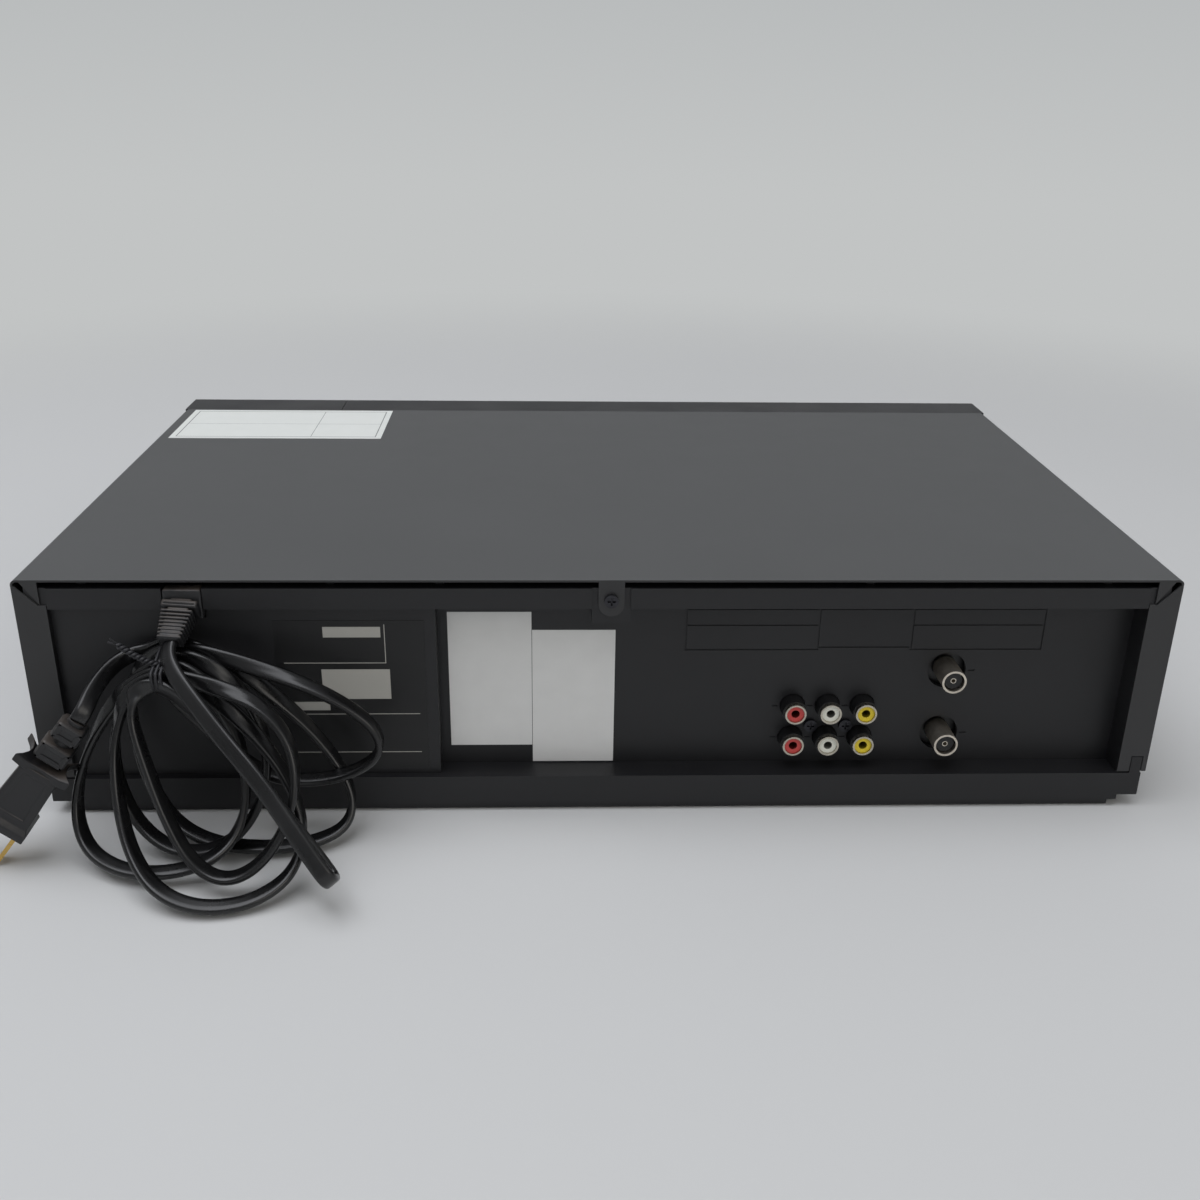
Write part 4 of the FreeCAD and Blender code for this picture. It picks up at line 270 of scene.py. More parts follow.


# Moulded PVC of the plug and strain relief: its upper faces are painted a paler grey brown as sheen and
# warm reflection, broken into patches like rubbing wear
def rubbedPvcWithPaintedSheen():
    material, tree, shader, place = newFinish("moulded_black_pvc", 0.45, ior=1.52)
    grainBump(tree, shader, place, size=0.6, height=0.012)
    normal = addNode(tree, "ShaderNodeNewGeometry").outputs["Normal"]
    upward = addNode(tree, "ShaderNodeSeparateXYZ", {"Vector": normal}).outputs["Z"]
    wear = addNode(tree, "ShaderNodeTexNoise", {"Vector": place, "Scale": 1000 / 5, "Detail": 5.0})
    # Painted sheen and reflection on upward faces, patchy like wear
    rubbedAndSheened = addNode(
        tree, "ShaderNodeMath", {0: upward, 1: wear.outputs["Fac"]}, operation="MULTIPLY"
    )
    share = addNode(
        tree,
        "ShaderNodeMapRange",
        {"Value": rubbedAndSheened.outputs[0], "From Min": 0.18, "From Max": 0.5, "To Max": 0.7},
    )
    tone = addNode(
        tree,
        "ShaderNodeMix",
        {0: share.outputs["Result"], 6: linear("19191b"), 7: linear("4d4640")},
        data_type="RGBA",
    )
    tree.links.new(tone.outputs[2], shader.inputs["Base Color"])
    return material


# Sizes and places of the lead in millimetres, apart from its length in metres
lead = {
    "width": 6.2,
    "thick": 3.1,
    "groove": 0.32,
    "grooveHalf": 0.7,
    "flatness": 2.2,  # how squarely the section's flat sides end
    "sides": 22,
    "length": 1.6,
    "tie": (158, 160.5, 70),
    "row": (0, -0.97, 0.24),
    "pitch": 4.1,
    "pointsPerTurn": 12,
    "resolution": 8,
    "ringsPerTile": 12,
    # the lead rolls over from this point of its start, over so many points, and again near the tie
    "rollFrom": 10,
    "rollOver": 4,
    "tieShare": 0.2,
    "evenings": 24,  # how often the twist is averaged with its neighbours
    # where each turn reaches the floor, half its width and the shift of its belly
    "turns": [
        ((133, 190, 6), (26, 1, -2.5), (-8.5, -5, 8.7)),
        ((139.5, 201.7, 3.5), (32.5, 0, 3), (-8.3, -4, -11)),
        ((158.2, 184, 5.7), (31.5, 0.1, -2.4), (3.8, -6, -14.9)),
        ((146, 169.5, 4.5), (28, 1, -6), (0.3, -5.7, -3.3)),
        ((109.9, 151.7, 24), (30.6, -3.4, -3.9), (-17.5, -0.5, -4)),
        ((128, 166.2, 4.3), (38, 0.1, 1), (-9.5, -6.3, -18.1)),
    ],
    # from the strain relief down to the fold at the right and back up to the tie
    "start": [
        (156, 150, 80), (156.3, 153.6, 78), (153.5, 160, 75), (146.5, 168.4, 69.8),
        (134, 177.5, 57.5), (120, 187, 45), (109, 195.5, 32.5), (99.6, 202.5, 21.5),
        (95.5, 205, 17), (95.5, 196.5, 11), (99.6, 193, 15.5), (113, 184, 29.5),
        (128, 174.4, 43.5), (141, 166.5, 58),
    ],
    # from the last turn behind the tie to the plug
    "end": [
        (158, 136.6, 75.9), (168, 136.2, 70.6), (174, 137.3, 70.2), (180, 144, 68),
        (183.2, 155, 64.5), (184, 164.9, 60.2), (186.5, 165, 57),
    ],
    # the way the flat side's width lies: on the first run, in the turns, at the tie, at the plug
    "widthFirst": (-0.76, -0.18, 0.615),
    "widthTurns": (0, -0.97, 0.24),
    "widthTie": (0, 0.24, 0.97),
    "widthPlug": (0.788, 0, 0.615),
}


# Control points in metres, each with the way that the lead's width lies there
def leadRoute():
    row = Vector(lead["row"]).normalized()
    route = []
    for count, point in enumerate(lead["start"]):
        share = max(0, (count - lead["rollFrom"]) / lead["rollOver"])
        width = Vector(lead["widthFirst"]).lerp(Vector(lead["widthTie"]), share)
        route.append((Vector(point) * mm, width))
    for turn, (foot, half, belly) in enumerate(lead["turns"]):
        top = Vector(lead["tie"]) + row * lead["pitch"] * turn
        for step in range(lead["pointsPerTurn"]):
            angle = 2 * math.pi * step / lead["pointsPerTurn"]
            swing = math.sin(angle)
            fall = (1 - math.cos(angle)) / 2
            point = top + (Vector(foot) - top) * fall + Vector(half) * swing + Vector(belly) * swing ** 2
            share = min(1, fall / lead["tieShare"])
            width = Vector(lead["widthTie"]).lerp(Vector(lead["widthTurns"]), share)
            route.append((point * mm, width))
    for count, point in enumerate(lead["end"]):
        share = count / (len(lead["end"]) - 1)
        width = Vector(lead["widthTie"]).lerp(Vector(lead["widthPlug"]), share)
        route.append((Vector(point) * mm, width))
    return route


# The smooth line of a route, read from its spline
def splineLine(name, points, resolution):
    curve = bpy.data.curves.new(name, "CURVE")
    curve.dimensions = "3D"
    curve.resolution_u = resolution
    spline = curve.splines.new("NURBS")
    spline.points.add(len(points) - 1)
    for target, point in zip(spline.points, points):
        target.co = (*point, 1)
    spline.order_u = 3
    spline.use_endpoint_u = True
    holder = bpy.data.objects.new(name, curve)
    bpy.context.scene.collection.objects.link(holder)
    bpy.context.view_layer.update()
    mesh = bpy.data.meshes.new_from_object(holder.evaluated_get(bpy.context.evaluated_depsgraph_get()))
    line = [vertex.co.copy() for vertex in mesh.vertices]
    bpy.data.meshes.remove(mesh)
    bpy.data.objects.remove(holder)
    bpy.data.curves.remove(curve)
    return line


# Outline of the flat twin lead: two round halves with a shallow groove between them
def twinSection():
    section = []
    straight = (lead["width"] - lead["thick"]) / 2
    for step in range(lead["sides"]):
        angle = 2 * math.pi * step / lead["sides"]
        way = 1 if math.cos(angle) >= 0 else -1
        wide = straight * way * min(1, abs(math.cos(angle)) * lead["flatness"])
        wide += lead["thick"] / 2 * math.cos(angle)
        dip = lead["groove"] * math.exp(-(wide / lead["grooveHalf"]) ** 2)
        deep = math.sin(angle) * (lead["thick"] / 2 - dip)
        section.append((wide * mm, deep * mm))
    return section


# Headings along the line, and across them the width's way, with its twist evened out
def leadFrames(line, route):
    headings, widths = [], []
    for index in range(len(line)):
        before = line[max(index - 1, 0)]
        after = line[min(index + 1, len(line) - 1)]
        heading = (after - before).normalized()
        at = index / (len(line) - 1) * (len(route) - 2) + 0.5
        at = min(max(at, 0), len(route) - 1.001)
        width = route[int(at)][1].lerp(route[int(at) + 1][1], at % 1)
        width = (width - heading * width.dot(heading)).normalized()
        if widths and width.dot(widths[-1]) < 0:
            width = -width
        headings.append(heading)
        widths.append(width)
    for step in range(lead["evenings"]):
        near = [widths[0]] + widths + [widths[-1]]
        for index, heading in enumerate(headings):
            width = near[index] + near[index + 1] + near[index + 2]
            widths[index] = (width - heading * width.dot(heading)).normalized()
    return headings, widths


# Sweeps the lead's outline along its line, with a texture map that runs along it
def sweptLead(finish):
    route = leadRoute()
    line = splineLine("leadLine", [point for point, width in route], lead["resolution"])
    section = twinSection()
    sides = len(section)
    points, faces = [], []
    headings, widths = leadFrames(line, route)
    for place, heading, width in zip(line, headings, widths):
        depth = heading.cross(width)
        points += [place + width * wide + depth * deep for wide, deep in section]
    for ring in range(len(line) - 1):
        for side in range(sides):
            here, there = ring * sides, (ring + 1) * sides
            following = (side + 1) % sides
            faces.append((here + side, here + following, there + following, there + side))
    faces.append(tuple(reversed(range(sides))))
    faces.append(tuple(range((len(line) - 1) * sides, len(line) * sides)))
    mesh = bpy.data.meshes.new("main_lead")
    mesh.from_pydata(points, [], faces)
    mesh.materials.append(finish)
    mesh.shade_smooth()
    piece = bpy.data.objects.new("main_lead", mesh)
    bpy.context.scene.collection.objects.link(piece)
    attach(piece, "case")
    layer = mesh.uv_layers.new(name="alongLead")
    for face in mesh.polygons:
        if len(face.vertices) != 4:
            continue
        for corner, vertex in zip(face.loop_indices, face.vertices):
            ring, side = divmod(vertex, sides)
            if side == 0 and face.vertices[1] % sides == 0:
                side = sides
            layer.data[corner].uv = (side / sides, ring / lead["ringsPerTile"])
    return piece, line


def objectMode():
    bpy.ops.object.mode_set(mode="OBJECT")


# Edit mode, with all of the mesh selected or deselected first if wanted
def editMode(action=None):
    bpy.ops.object.mode_set(mode="EDIT")
    if action:
        bpy.ops.mesh.select_all(action=action)


def deselectAll():
    if bpy.context.mode != "OBJECT":
        objectMode()
    bpy.ops.object.select_all(action="DESELECT")


# A block added at its size and place, with its edges rounded in edit mode
def roundedBlock(low, high, radius, segments=2):
    deselectAll()
    size = [b - a for a, b in zip(low, high)]
    middle = [(a + b) / 2 * mm for a, b in zip(low, high)]
    bpy.ops.mesh.primitive_cube_add(size=1, location=middle, scale=[s * mm for s in size])
    block = bpy.context.active_object
    bpy.ops.object.transform_apply(location=True, rotation=True, scale=True)
    if radius:
        editMode("SELECT")
        bpy.ops.mesh.bevel(offset=radius * mm, segments=segments, affect="EDGES")
        objectMode()
    return block


# A turned pin or ring blank along Z, closed at both ends
def turnedBlank(centre, low, high, radius, sides=32):
    deselectAll()
    middle = ((low + high) / 2) * mm
    bpy.ops.mesh.primitive_cylinder_add(
        vertices=sides,
        radius=radius * mm,
        depth=(high - low) * mm,
        location=(centre[0] * mm, centre[1] * mm, middle),
    )
    blank = bpy.context.active_object
    bpy.ops.object.transform_apply(location=True, rotation=True, scale=True)
    return blank


# Selects faces by their normal and, if wanted, by where their middles lie along it
def selectFaces(piece, way, beyond=None, least=0.9):
    editMode("DESELECT")
    bpy.ops.mesh.select_mode(type="FACE")
    objectMode()
    way = Vector(way)
    for face in piece.data.polygons:
        lined = face.normal.dot(way) > least
        far = beyond is None or face.center.dot(way) > beyond * mm
        face.select = lined and far
    editMode()


def bevelled(piece, radius, segments=2, angle=35):
    deselectAll()
    bpy.context.view_layer.objects.active = piece
    piece.select_set(True)
    bevel = piece.modifiers.new("edges", "BEVEL")
    bevel.width = radius * mm
    bevel.segments = segments
    bevel.limit_method = "ANGLE"
    bevel.angle_limit = math.radians(angle)
    bpy.ops.object.modifier_apply(modifier=bevel.name)
    bpy.ops.object.shade_smooth_by_angle(angle=math.radians(40))
    return piece


def joined(name, pieces, finish, body="case"):
    deselectAll()
    for piece in pieces:
        piece.select_set(True)
    bpy.context.view_layer.objects.active = pieces[0]
    if len(pieces) > 1:
        bpy.ops.object.join()
    whole = bpy.context.active_object
    whole.name = name
    whole.data.name = name
    whole.data.materials.clear()
    whole.data.materials.append(finish)
    deselectAll()
    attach(whole, body)
    return whole


# Turns a piece made upright at the origin so that its Z lies along the heading
def aimed(piece, point, heading, across):
    heading = Vector(heading).normalized()
    side = (Vector(across) - heading * heading.dot(Vector(across))).normalized()
    turn = Matrix((side, heading.cross(side), heading)).transposed().to_4x4()
    piece.data.transform(Matrix.Translation(Vector(point) * mm) @ turn)
    piece.data.update()
    return piece


relief = {
    "start": (154.5, 134, 88.9),
    "end": (156, 150, 80),
    "head": ((147.4, 129.2, 82.4), (161.6, 135.4, 94.4)),
    "headEdge": 1.0,
    # width, depth, and where it starts and ends along the sleeve
    "collar": (13.4, 7.4, 1.2, 4.6),
    "collarEdge": 1.0,
    # a band on the collar: narrower, prouder, and set in from its two ends
    "band": (0.8, 0.5, 1.4, 0.9),
    "bandEdge": 0.7,
    "core": (4.0, 2.9),
    "coreEdge": 0.8,
    "coreTaper": (0.86, 0.9),
    "ribs": 8,
    "ribGap": 1.1,
    "ribDepth": 1.15,
    "ribEdge": 0.42,
    # width and depth of the first and the last rib
    "wide": (11.6, 8.8),
    "deep": (7.4, 6.0),
    "edge": 0.12,
}


# Strain relief: head in the notch, a stepped collar, then flat ribs that taper to the lead
def strainRelief(finish):
    start, end = Vector(relief["start"]), Vector(relief["end"])
    length = (end - start).length
    pieces = [roundedBlock(*relief["head"], relief["headEdge"])]
    upright = []
    wide, deep, low, high = relief["collar"]
    collar = (-wide / 2, -deep / 2, low), (wide / 2, deep / 2, high)
    upright.append(roundedBlock(*collar, relief["collarEdge"], 3))
    inset, proud, after, before = relief["band"]
    band = (
        (-wide / 2 + inset, -deep / 2 - proud, low + after),
        (wide / 2 - inset, deep / 2 + proud, high - before),
    )
    upright.append(roundedBlock(*band, relief["bandEdge"]))
    halfWide, halfDeep = relief["core"]
    core = roundedBlock((-halfWide, -halfDeep, 0), (halfWide, halfDeep, length), relief["coreEdge"])
    selectFaces(core, (0, 0, 1), beyond=length - 0.5)
    bpy.ops.transform.resize(value=(*relief["coreTaper"], 1), center_override=(0, 0, length * mm))
    objectMode()
    upright.append(core)
    first = high + relief["ribGap"]
    pitch = (length - first) / relief["ribs"]
    for step in range(relief["ribs"]):
        share = step / (relief["ribs"] - 1)
        wide = relief["wide"][0] + (relief["wide"][1] - relief["wide"][0]) * share
        deep = relief["deep"][0] + (relief["deep"][1] - relief["deep"][0]) * share
        low = first + pitch * step
        rib = (-wide / 2, -deep / 2, low), (wide / 2, deep / 2, low + relief["ribDepth"])
        upright.append(roundedBlock(*rib, relief["ribEdge"]))
    for piece in upright:
        aimed(piece, start, end - start, (1, 0, 0))
    for piece in pieces + upright:
        bevelled(piece, relief["edge"], 1)
    whole = joined("lead_strain_relief", pieces + upright, finish)
    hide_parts("strain_relief")
    return whole


# Along the plug, lengths count from where the lead enters it
plug = {
    "entry": lead["end"][-1],
    "heading": (0.615, 0.03, -0.788),
    "wideWay": (-0.788, 0, -0.615),
    "sleeve": (19, 3.6),  # length and radius
    "sleeveMouth": (0.9, 0.62),
    # each neck ring: where it starts and ends, half its width and half its depth
    "rings": ((1.5, 8.6, 5.0, 4.3), (10.6, 18.4, 5.8, 5.0)),
    "ringEdge": 1.3,
    # the rim left round the raised panel on a ring's side and round the pocket on its top
    "ringInsets": (((-1, 0, 0), 0.8, 0.25), ((0, 1, 0), 1.6, -0.8)),
    "neck": 26,
    "wings": (10.6, 7.8, 3.4),  # half width, half depth and thickness
    "wingsBefore": 5,
    "wingsDrawn": (0.34, 0.36),
    "wingsSwept": 2.6,
    "body": 21.5,
    "bodyHalf": (7.0, 5.6),
    "bodyBefore": 3.4,
    "bodyFlare": (1.16, 1.12),
    "flare": 2.0,
    "flareEnd": 2.2,
    "flangeFlare": (1.14, 1.24),
    "flange": 3,
    "faceRim": (1.8, 0.5),
    # the side panels, from the neck's end to the body's end, their rim and how far they are sunk
    "panelFrom": -2,
    "panelTo": -4,
    "panelRim": (2.6, 0.5),
    "edge": 0.5,
    "sleeveEdge": 0.2,
}


# Plug along Z: lead sleeve, two neck rings, finger wings, body with side panels, flared face
def mainsPlug(finish):
    neck, body = plug["neck"], plug["body"]
    pieces = []
    length, radius = plug["sleeve"]
    sleeve = turnedBlank((0, 0), 0, length, radius, 24)
    selectFaces(sleeve, (0, 0, -1))
    bpy.ops.transform.resize(value=(*plug["sleeveMouth"], 1), center_override=(0, 0, 0))
    objectMode()
    pieces.append(sleeve)
    for low, high, wide, deep in plug["rings"]:
        ring = roundedBlock((-wide, -deep, low), (wide, deep, high), plug["ringEdge"], 3)
        for reach, (way, rim, rise) in zip((wide, deep), plug["ringInsets"]):
            selectFaces(ring, way, beyond=reach - 0.4)
            bpy.ops.mesh.inset(thickness=rim * mm, depth=rise * mm)
            objectMode()
        pieces.append(ring)
    pieces.append(fingerWings())
    halfWide, halfDeep = plug["bodyHalf"]
    low, high = neck - plug["bodyBefore"], neck + body - plug["flareEnd"]
    main = roundedBlock((-halfWide, -halfDeep, low), (halfWide, halfDeep, high), 0)
    selectFaces(main, (0, 0, 1))
    bpy.ops.transform.resize(value=(*plug["bodyFlare"], 1), center_override=(0, 0, 0))
    bpy.ops.mesh.extrude_region_move(TRANSFORM_OT_translate={"value": (0, 0, plug["flare"] * mm)})
    bpy.ops.transform.resize(value=(*plug["flangeFlare"], 1), center_override=(0, 0, 0))
    bpy.ops.mesh.extrude_region_move(TRANSFORM_OT_translate={"value": (0, 0, plug["flange"] * mm)})
    rim, sunk = plug["faceRim"]
    bpy.ops.mesh.inset(thickness=rim * mm, depth=-sunk * mm)
    objectMode()
    low, high = (neck + plug["panelFrom"]) * mm, (neck + body + plug["panelTo"]) * mm
    rim, sunk = plug["panelRim"]
    for way in ((0, 1, 0), (0, -1, 0)):
        selectFaces(main, way, least=0.97)
        objectMode()
        for polygon in main.data.polygons:
            polygon.select = polygon.select and low < polygon.center.z < high
        editMode()
        bpy.ops.mesh.inset(thickness=rim * mm)
        bpy.ops.mesh.inset(thickness=sunk * mm, depth=-sunk * mm)
        objectMode()
    pieces.append(main)
    for piece in pieces:
        aimed(piece, plug["entry"], plug["heading"], plug["wideWay"])
        bevelled(piece, plug["sleeveEdge"] if piece is sleeve else plug["edge"], 3)
    whole = joined("mains_plug_body", pieces, finish)
    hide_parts("plug")
    return whole


# A plate whose sides are drawn in between its corners, with the corners swept back
def fingerWings():
    wide, deep, thick = plug["wings"]
    low = plug["neck"] - plug["wingsBefore"]
    wings = roundedBlock((-wide, -deep, low), (wide, deep, low + thick), 0)
    editMode("SELECT")
    bpy.ops.mesh.subdivide(number_cuts=5)
    objectMode()
    drawnWide, drawnDeep = plug["wingsDrawn"]
    for vertex in wings.data.vertices:
        across, along = vertex.co.x / (wide * mm), vertex.co.y / (deep * mm)
        vertex.co.x *= 1 - drawnWide * (1 - along * along)
        vertex.co.y *= 1 - drawnDeep * (1 - across * across)
        vertex.co.z -= plug["wingsSwept"] * mm * (across * across) ** 1.5
    wings.data.update()
    return wings


twistTie = {
    "wire": 0.62,
    "wraps": (-1.6, 0.0, 1.6),
    "wrapPoints": 32,
    "wrapSlant": 0.4,
    "clear": (4.1, 2.3),
    "twistStart": (158.5, 157.0, 74.6),
    "twistEnd": (171.5, 158.0, 83.2),
    "twistTurns": 5,
    "twistPoints": 60,
    "twistBow": 1.2,
    "bristles": 4,
    "bristle": 3.4,
    "bristleWire": 0.28,
    "bristleTurn": 1.7,
    "bristleSpread": (0.45, 0.3),
}


# A round wire along points, made a mesh at once
def wirePiece(name, points, radius, cyclic=False):
    curve = bpy.data.curves.new(name, "CURVE")
    curve.dimensions = "3D"
    curve.bevel_depth = radius * mm
    curve.bevel_resolution = 2
    curve.use_fill_caps = True
    spline = curve.splines.new("POLY")
    spline.points.add(len(points) - 1)
    for target, point in zip(spline.points, points):
        target.co = (*(Vector(point) * mm), 1)
    spline.use_cyclic_u = cyclic
    wire = bpy.data.objects.new(name, curve)
    bpy.context.scene.collection.objects.link(wire)
    deselectAll()
    wire.select_set(True)
    bpy.context.view_layer.objects.active = wire
    bpy.ops.object.convert(target="MESH")
    wire = bpy.context.active_object
    bpy.ops.object.shade_smooth()
    return wire


# Twist tie: wraps round the row of strands, a twisted tail and its splayed bare ends
def leadTie(finish):
    row = Vector(lead["row"]).normalized()
    rise = Vector((1, 0, 0)).cross(row).normalized()
    if rise.z < 0:
        rise = -rise
    first = Vector(lead["tie"])
    last = first + row * lead["pitch"] * len(lead["turns"])
    high, beside = twistTie["clear"]
    pieces = []
    for shift in twistTie["wraps"]:
        loop = []
        for step in range(twistTie["wrapPoints"]):
            angle = 2 * math.pi * step / twistTie["wrapPoints"]
            centre = first if math.cos(angle) < 0 else last
            loop.append(
                centre
                + row * beside * math.cos(angle)
                + rise * high * math.sin(angle)
                + Vector((shift + twistTie["wrapSlant"] * math.sin(angle), 0, 0))
            )
        pieces.append(wirePiece("wrap", loop, twistTie["wire"], cyclic=True))
    start, end = Vector(twistTie["twistStart"]), Vector(twistTie["twistEnd"])
    heading = (end - start).normalized()
    side = heading.cross(Vector((0, 0, 1))).normalized()
    over = side.cross(heading)
    for strand in (0, math.pi):
        points = []
        for step in range(twistTie["twistPoints"] + 1):
            share = step / twistTie["twistPoints"]
            angle = strand + 2 * math.pi * twistTie["twistTurns"] * share
            bow = twistTie["twistBow"] * math.sin(math.pi * share)
            offset = (side * math.cos(angle) + over * math.sin(angle)) * twistTie["wire"] * 1.05
            points.append(start.lerp(end, share) + offset + Vector((0, bow, 0)))
        pieces.append(wirePiece("twist", points, twistTie["wire"]))
    for turn in range(twistTie["bristles"]):
        angle = turn * twistTie["bristleTurn"]
        sideways, upwards = twistTie["bristleSpread"]
        spread = side * math.cos(angle) * sideways + over * math.sin(angle) * upwards
        tip = end + (heading + spread).normalized() * twistTie["bristle"]
        pieces.append(wirePiece("end", [end - heading, end + spread * 0.5, tip], twistTie["bristleWire"]))
    whole = joined("lead_tie", pieces, finish)
    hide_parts("twist_tie")
    return whole


# Where each kind of board's sheet ends, and the grids of its tracks and of its parts
boards = {"uprightFace": -117.1, "flatFace": 9.7, "tracks": 14, "parts": 26}


# Circuit boards: green solder mask over tracks; the parts on them are black, blue-black and grey
def circuitBoard(name, sheetTop, up):
    material, tree, shader, place = newFinish(name, 0.45)
    parts = addNode(tree, "ShaderNodeSeparateXYZ", {"Vector": place})
    height = parts.outputs[up]
    above = addNode(
        tree,
        "ShaderNodeMath",
        {0: height, 1: sheetTop * mm},
        operation="GREATER_THAN" if up == "Z" else "LESS_THAN",
    )
    tracks = addNode(tree, "ShaderNodeTexBrick", {
        "Vector": place,
        "Scale": 1000 / boards["tracks"],
        "Mortar Size": 0.03,
        "Color1": linear("3d5a2a"),
        "Color2": linear("456330"),
        "Mortar": linear("4d6a39"),
    })
    cells = addNode(tree, "ShaderNodeTexVoronoi", {"Vector": place, "Scale": 1000 / boards["parts"]})
    kinds = addNode(tree, "ShaderNodeValToRGB", {"Fac": cells.outputs["Color"]})
    kinds.color_ramp.interpolation = "CONSTANT"
    kinds.color_ramp.elements[0].color = linear("1b1b1d")
    kinds.color_ramp.elements[1].position = 0.5
    kinds.color_ramp.elements[1].color = linear("1d222c")
    last = kinds.color_ramp.elements.new(0.72)
    last.color = linear("26272a")
    tone = addNode(
        tree,
        "ShaderNodeMix",
        {0: above.outputs[0], 6: tracks.outputs["Color"], 7: kinds.outputs["Color"]},
        data_type="RGBA",
    )
    tree.links.new(tone.outputs[2], shader.inputs["Base Color"])
    grainBump(tree, shader, place, size=1.5, height=0.03)
    return material


# Distance on X and Z from the nearest of the given places, in metres
def axisDistance(tree, place, axes):
    flat = addNode(tree, "ShaderNodeVectorMath", {0: place, 1: (1, 0, 1)}, operation="MULTIPLY")
    nearest = 1.0
    for x, z in axes:
        away = addNode(
            tree,
            "ShaderNodeVectorMath",
            {0: flat.outputs[0], 1: (x * mm, 0, z * mm)},
            operation="DISTANCE",
        ).outputs["Value"]
        nearest = addNode(tree, "ShaderNodeMath", {0: nearest, 1: away}, operation="MINIMUM").outputs[0]
    return nearest


jacks = {
    "columns": (-101.8, -88.0, -74.2),
    "rows": (40.4, 26.5),
    "colours": ("e0c62a", "e0e0d4", "c2433f"),
    "hole": (1.55, 1.75),
}


# Phono inserts of polypropylene, yellow, white and red by their column, with painted black shade in their
# holes
def insertPlastic():
    material, tree, shader, place = newFinish("coloured_polypropylene", 0.34, ior=1.49)
    across = addNode(tree, "ShaderNodeSeparateXYZ", {"Vector": place}).outputs["X"]
    first, middle, last = jacks["columns"]
    half = (middle - first) / 2
    columns = addNode(
        tree,
        "ShaderNodeMapRange",
        {"Value": across, "From Min": (first - half) * mm, "From Max": (last + half) * mm},
    )
    colours = addNode(tree, "ShaderNodeValToRGB", {"Fac": columns.outputs["Result"]})
    ramp = colours.color_ramp
    ramp.interpolation = "CONSTANT"
    ramp.elements.new(2 / 3)
    ramp.elements[1].position = 1 / 3
    ramp.elements[2].position = 2 / 3
    for element, colour in zip(ramp.elements, jacks["colours"]):
        element.color = linear(colour)
    axes = [(x, z) for x in jacks["columns"] for z in jacks["rows"]]
    low, high = jacks["hole"]
    clear = addNode(
        tree,
        "ShaderNodeMapRange",
        {"Value": axisDistance(tree, place, axes), "From Min": low * mm, "From Max": high * mm},
    )
    # Painted shade: black in and round each pin hole
    tone = addNode(
        tree,
        "ShaderNodeMix",
        {0: clear.outputs["Result"], 6: linear("060606"), 7: colours.outputs["Color"]},
        data_type="RGBA",
    )
    tree.links.new(tone.outputs[2], shader.inputs["Base Color"])
    grainBump(tree, shader, place, size=0.6, height=0.006)
    return material


antennas = {
    "axes": ((-133.6, 55.7), (-133.6, 28.2)),
    "insulator": 3.75,
    "contact": 1.1,
    "shadeUpTo": 120.5,
    "unshadedFrom": 122.0,
}


# Nickel-plated barrels: painted shade where they sit in the panel's hole, a black insulator and a bright
# contact
def antennaMetal():
    material, tree, shader, place = newFinish("antenna_socket_nickel", 0.4)
    away = axisDistance(tree, place, antennas["axes"])
    outside = addNode(
        tree, "ShaderNodeMath", {0: away, 1: antennas["insulator"] * mm}, operation="GREATER_THAN"
    )
    inside = addNode(tree, "ShaderNodeMath", {0: away, 1: antennas["contact"] * mm}, operation="LESS_THAN")
    bare = addNode(
        tree, "ShaderNodeMath", {0: outside.outputs[0], 1: inside.outputs[0]}, operation="MAXIMUM"
    ).outputs[0]
    depth = addNode(tree, "ShaderNodeSeparateXYZ", {"Vector": place}).outputs["Y"]
    # Painted shade: the barrel darkens towards the panel, inside its hole
    shown = addNode(
        tree,
        "ShaderNodeMapRange",
        {
            "Value": depth,
            "From Min": antennas["shadeUpTo"] * mm,
            "From Max": antennas["unshadedFrom"] * mm,
        },
    ).outputs["Result"]
    plate = patchyTone(tree, shader, place, "b9b0a2", "efe7da", patch=2.2)
    panelHoleShade = addNode(
        tree, "ShaderNodeMix", {0: shown, 6: linear("1c1b1a"), 7: plate.outputs[2]}, data_type="RGBA"
    )
    tone = addNode(
        tree, "ShaderNodeMix", {0: bare, 6: linear("0f0f10"), 7: panelHoleShade.outputs[2]}, data_type="RGBA"
    )
    tree.links.new(tone.outputs[2], shader.inputs["Base Color"])
    tree.links.new(bare, shader.inputs["Metallic"])
    grainBump(tree, shader, place, size=0.5, height=0.005, detail=4.0)
    return material


frameLineHalf = 0.25


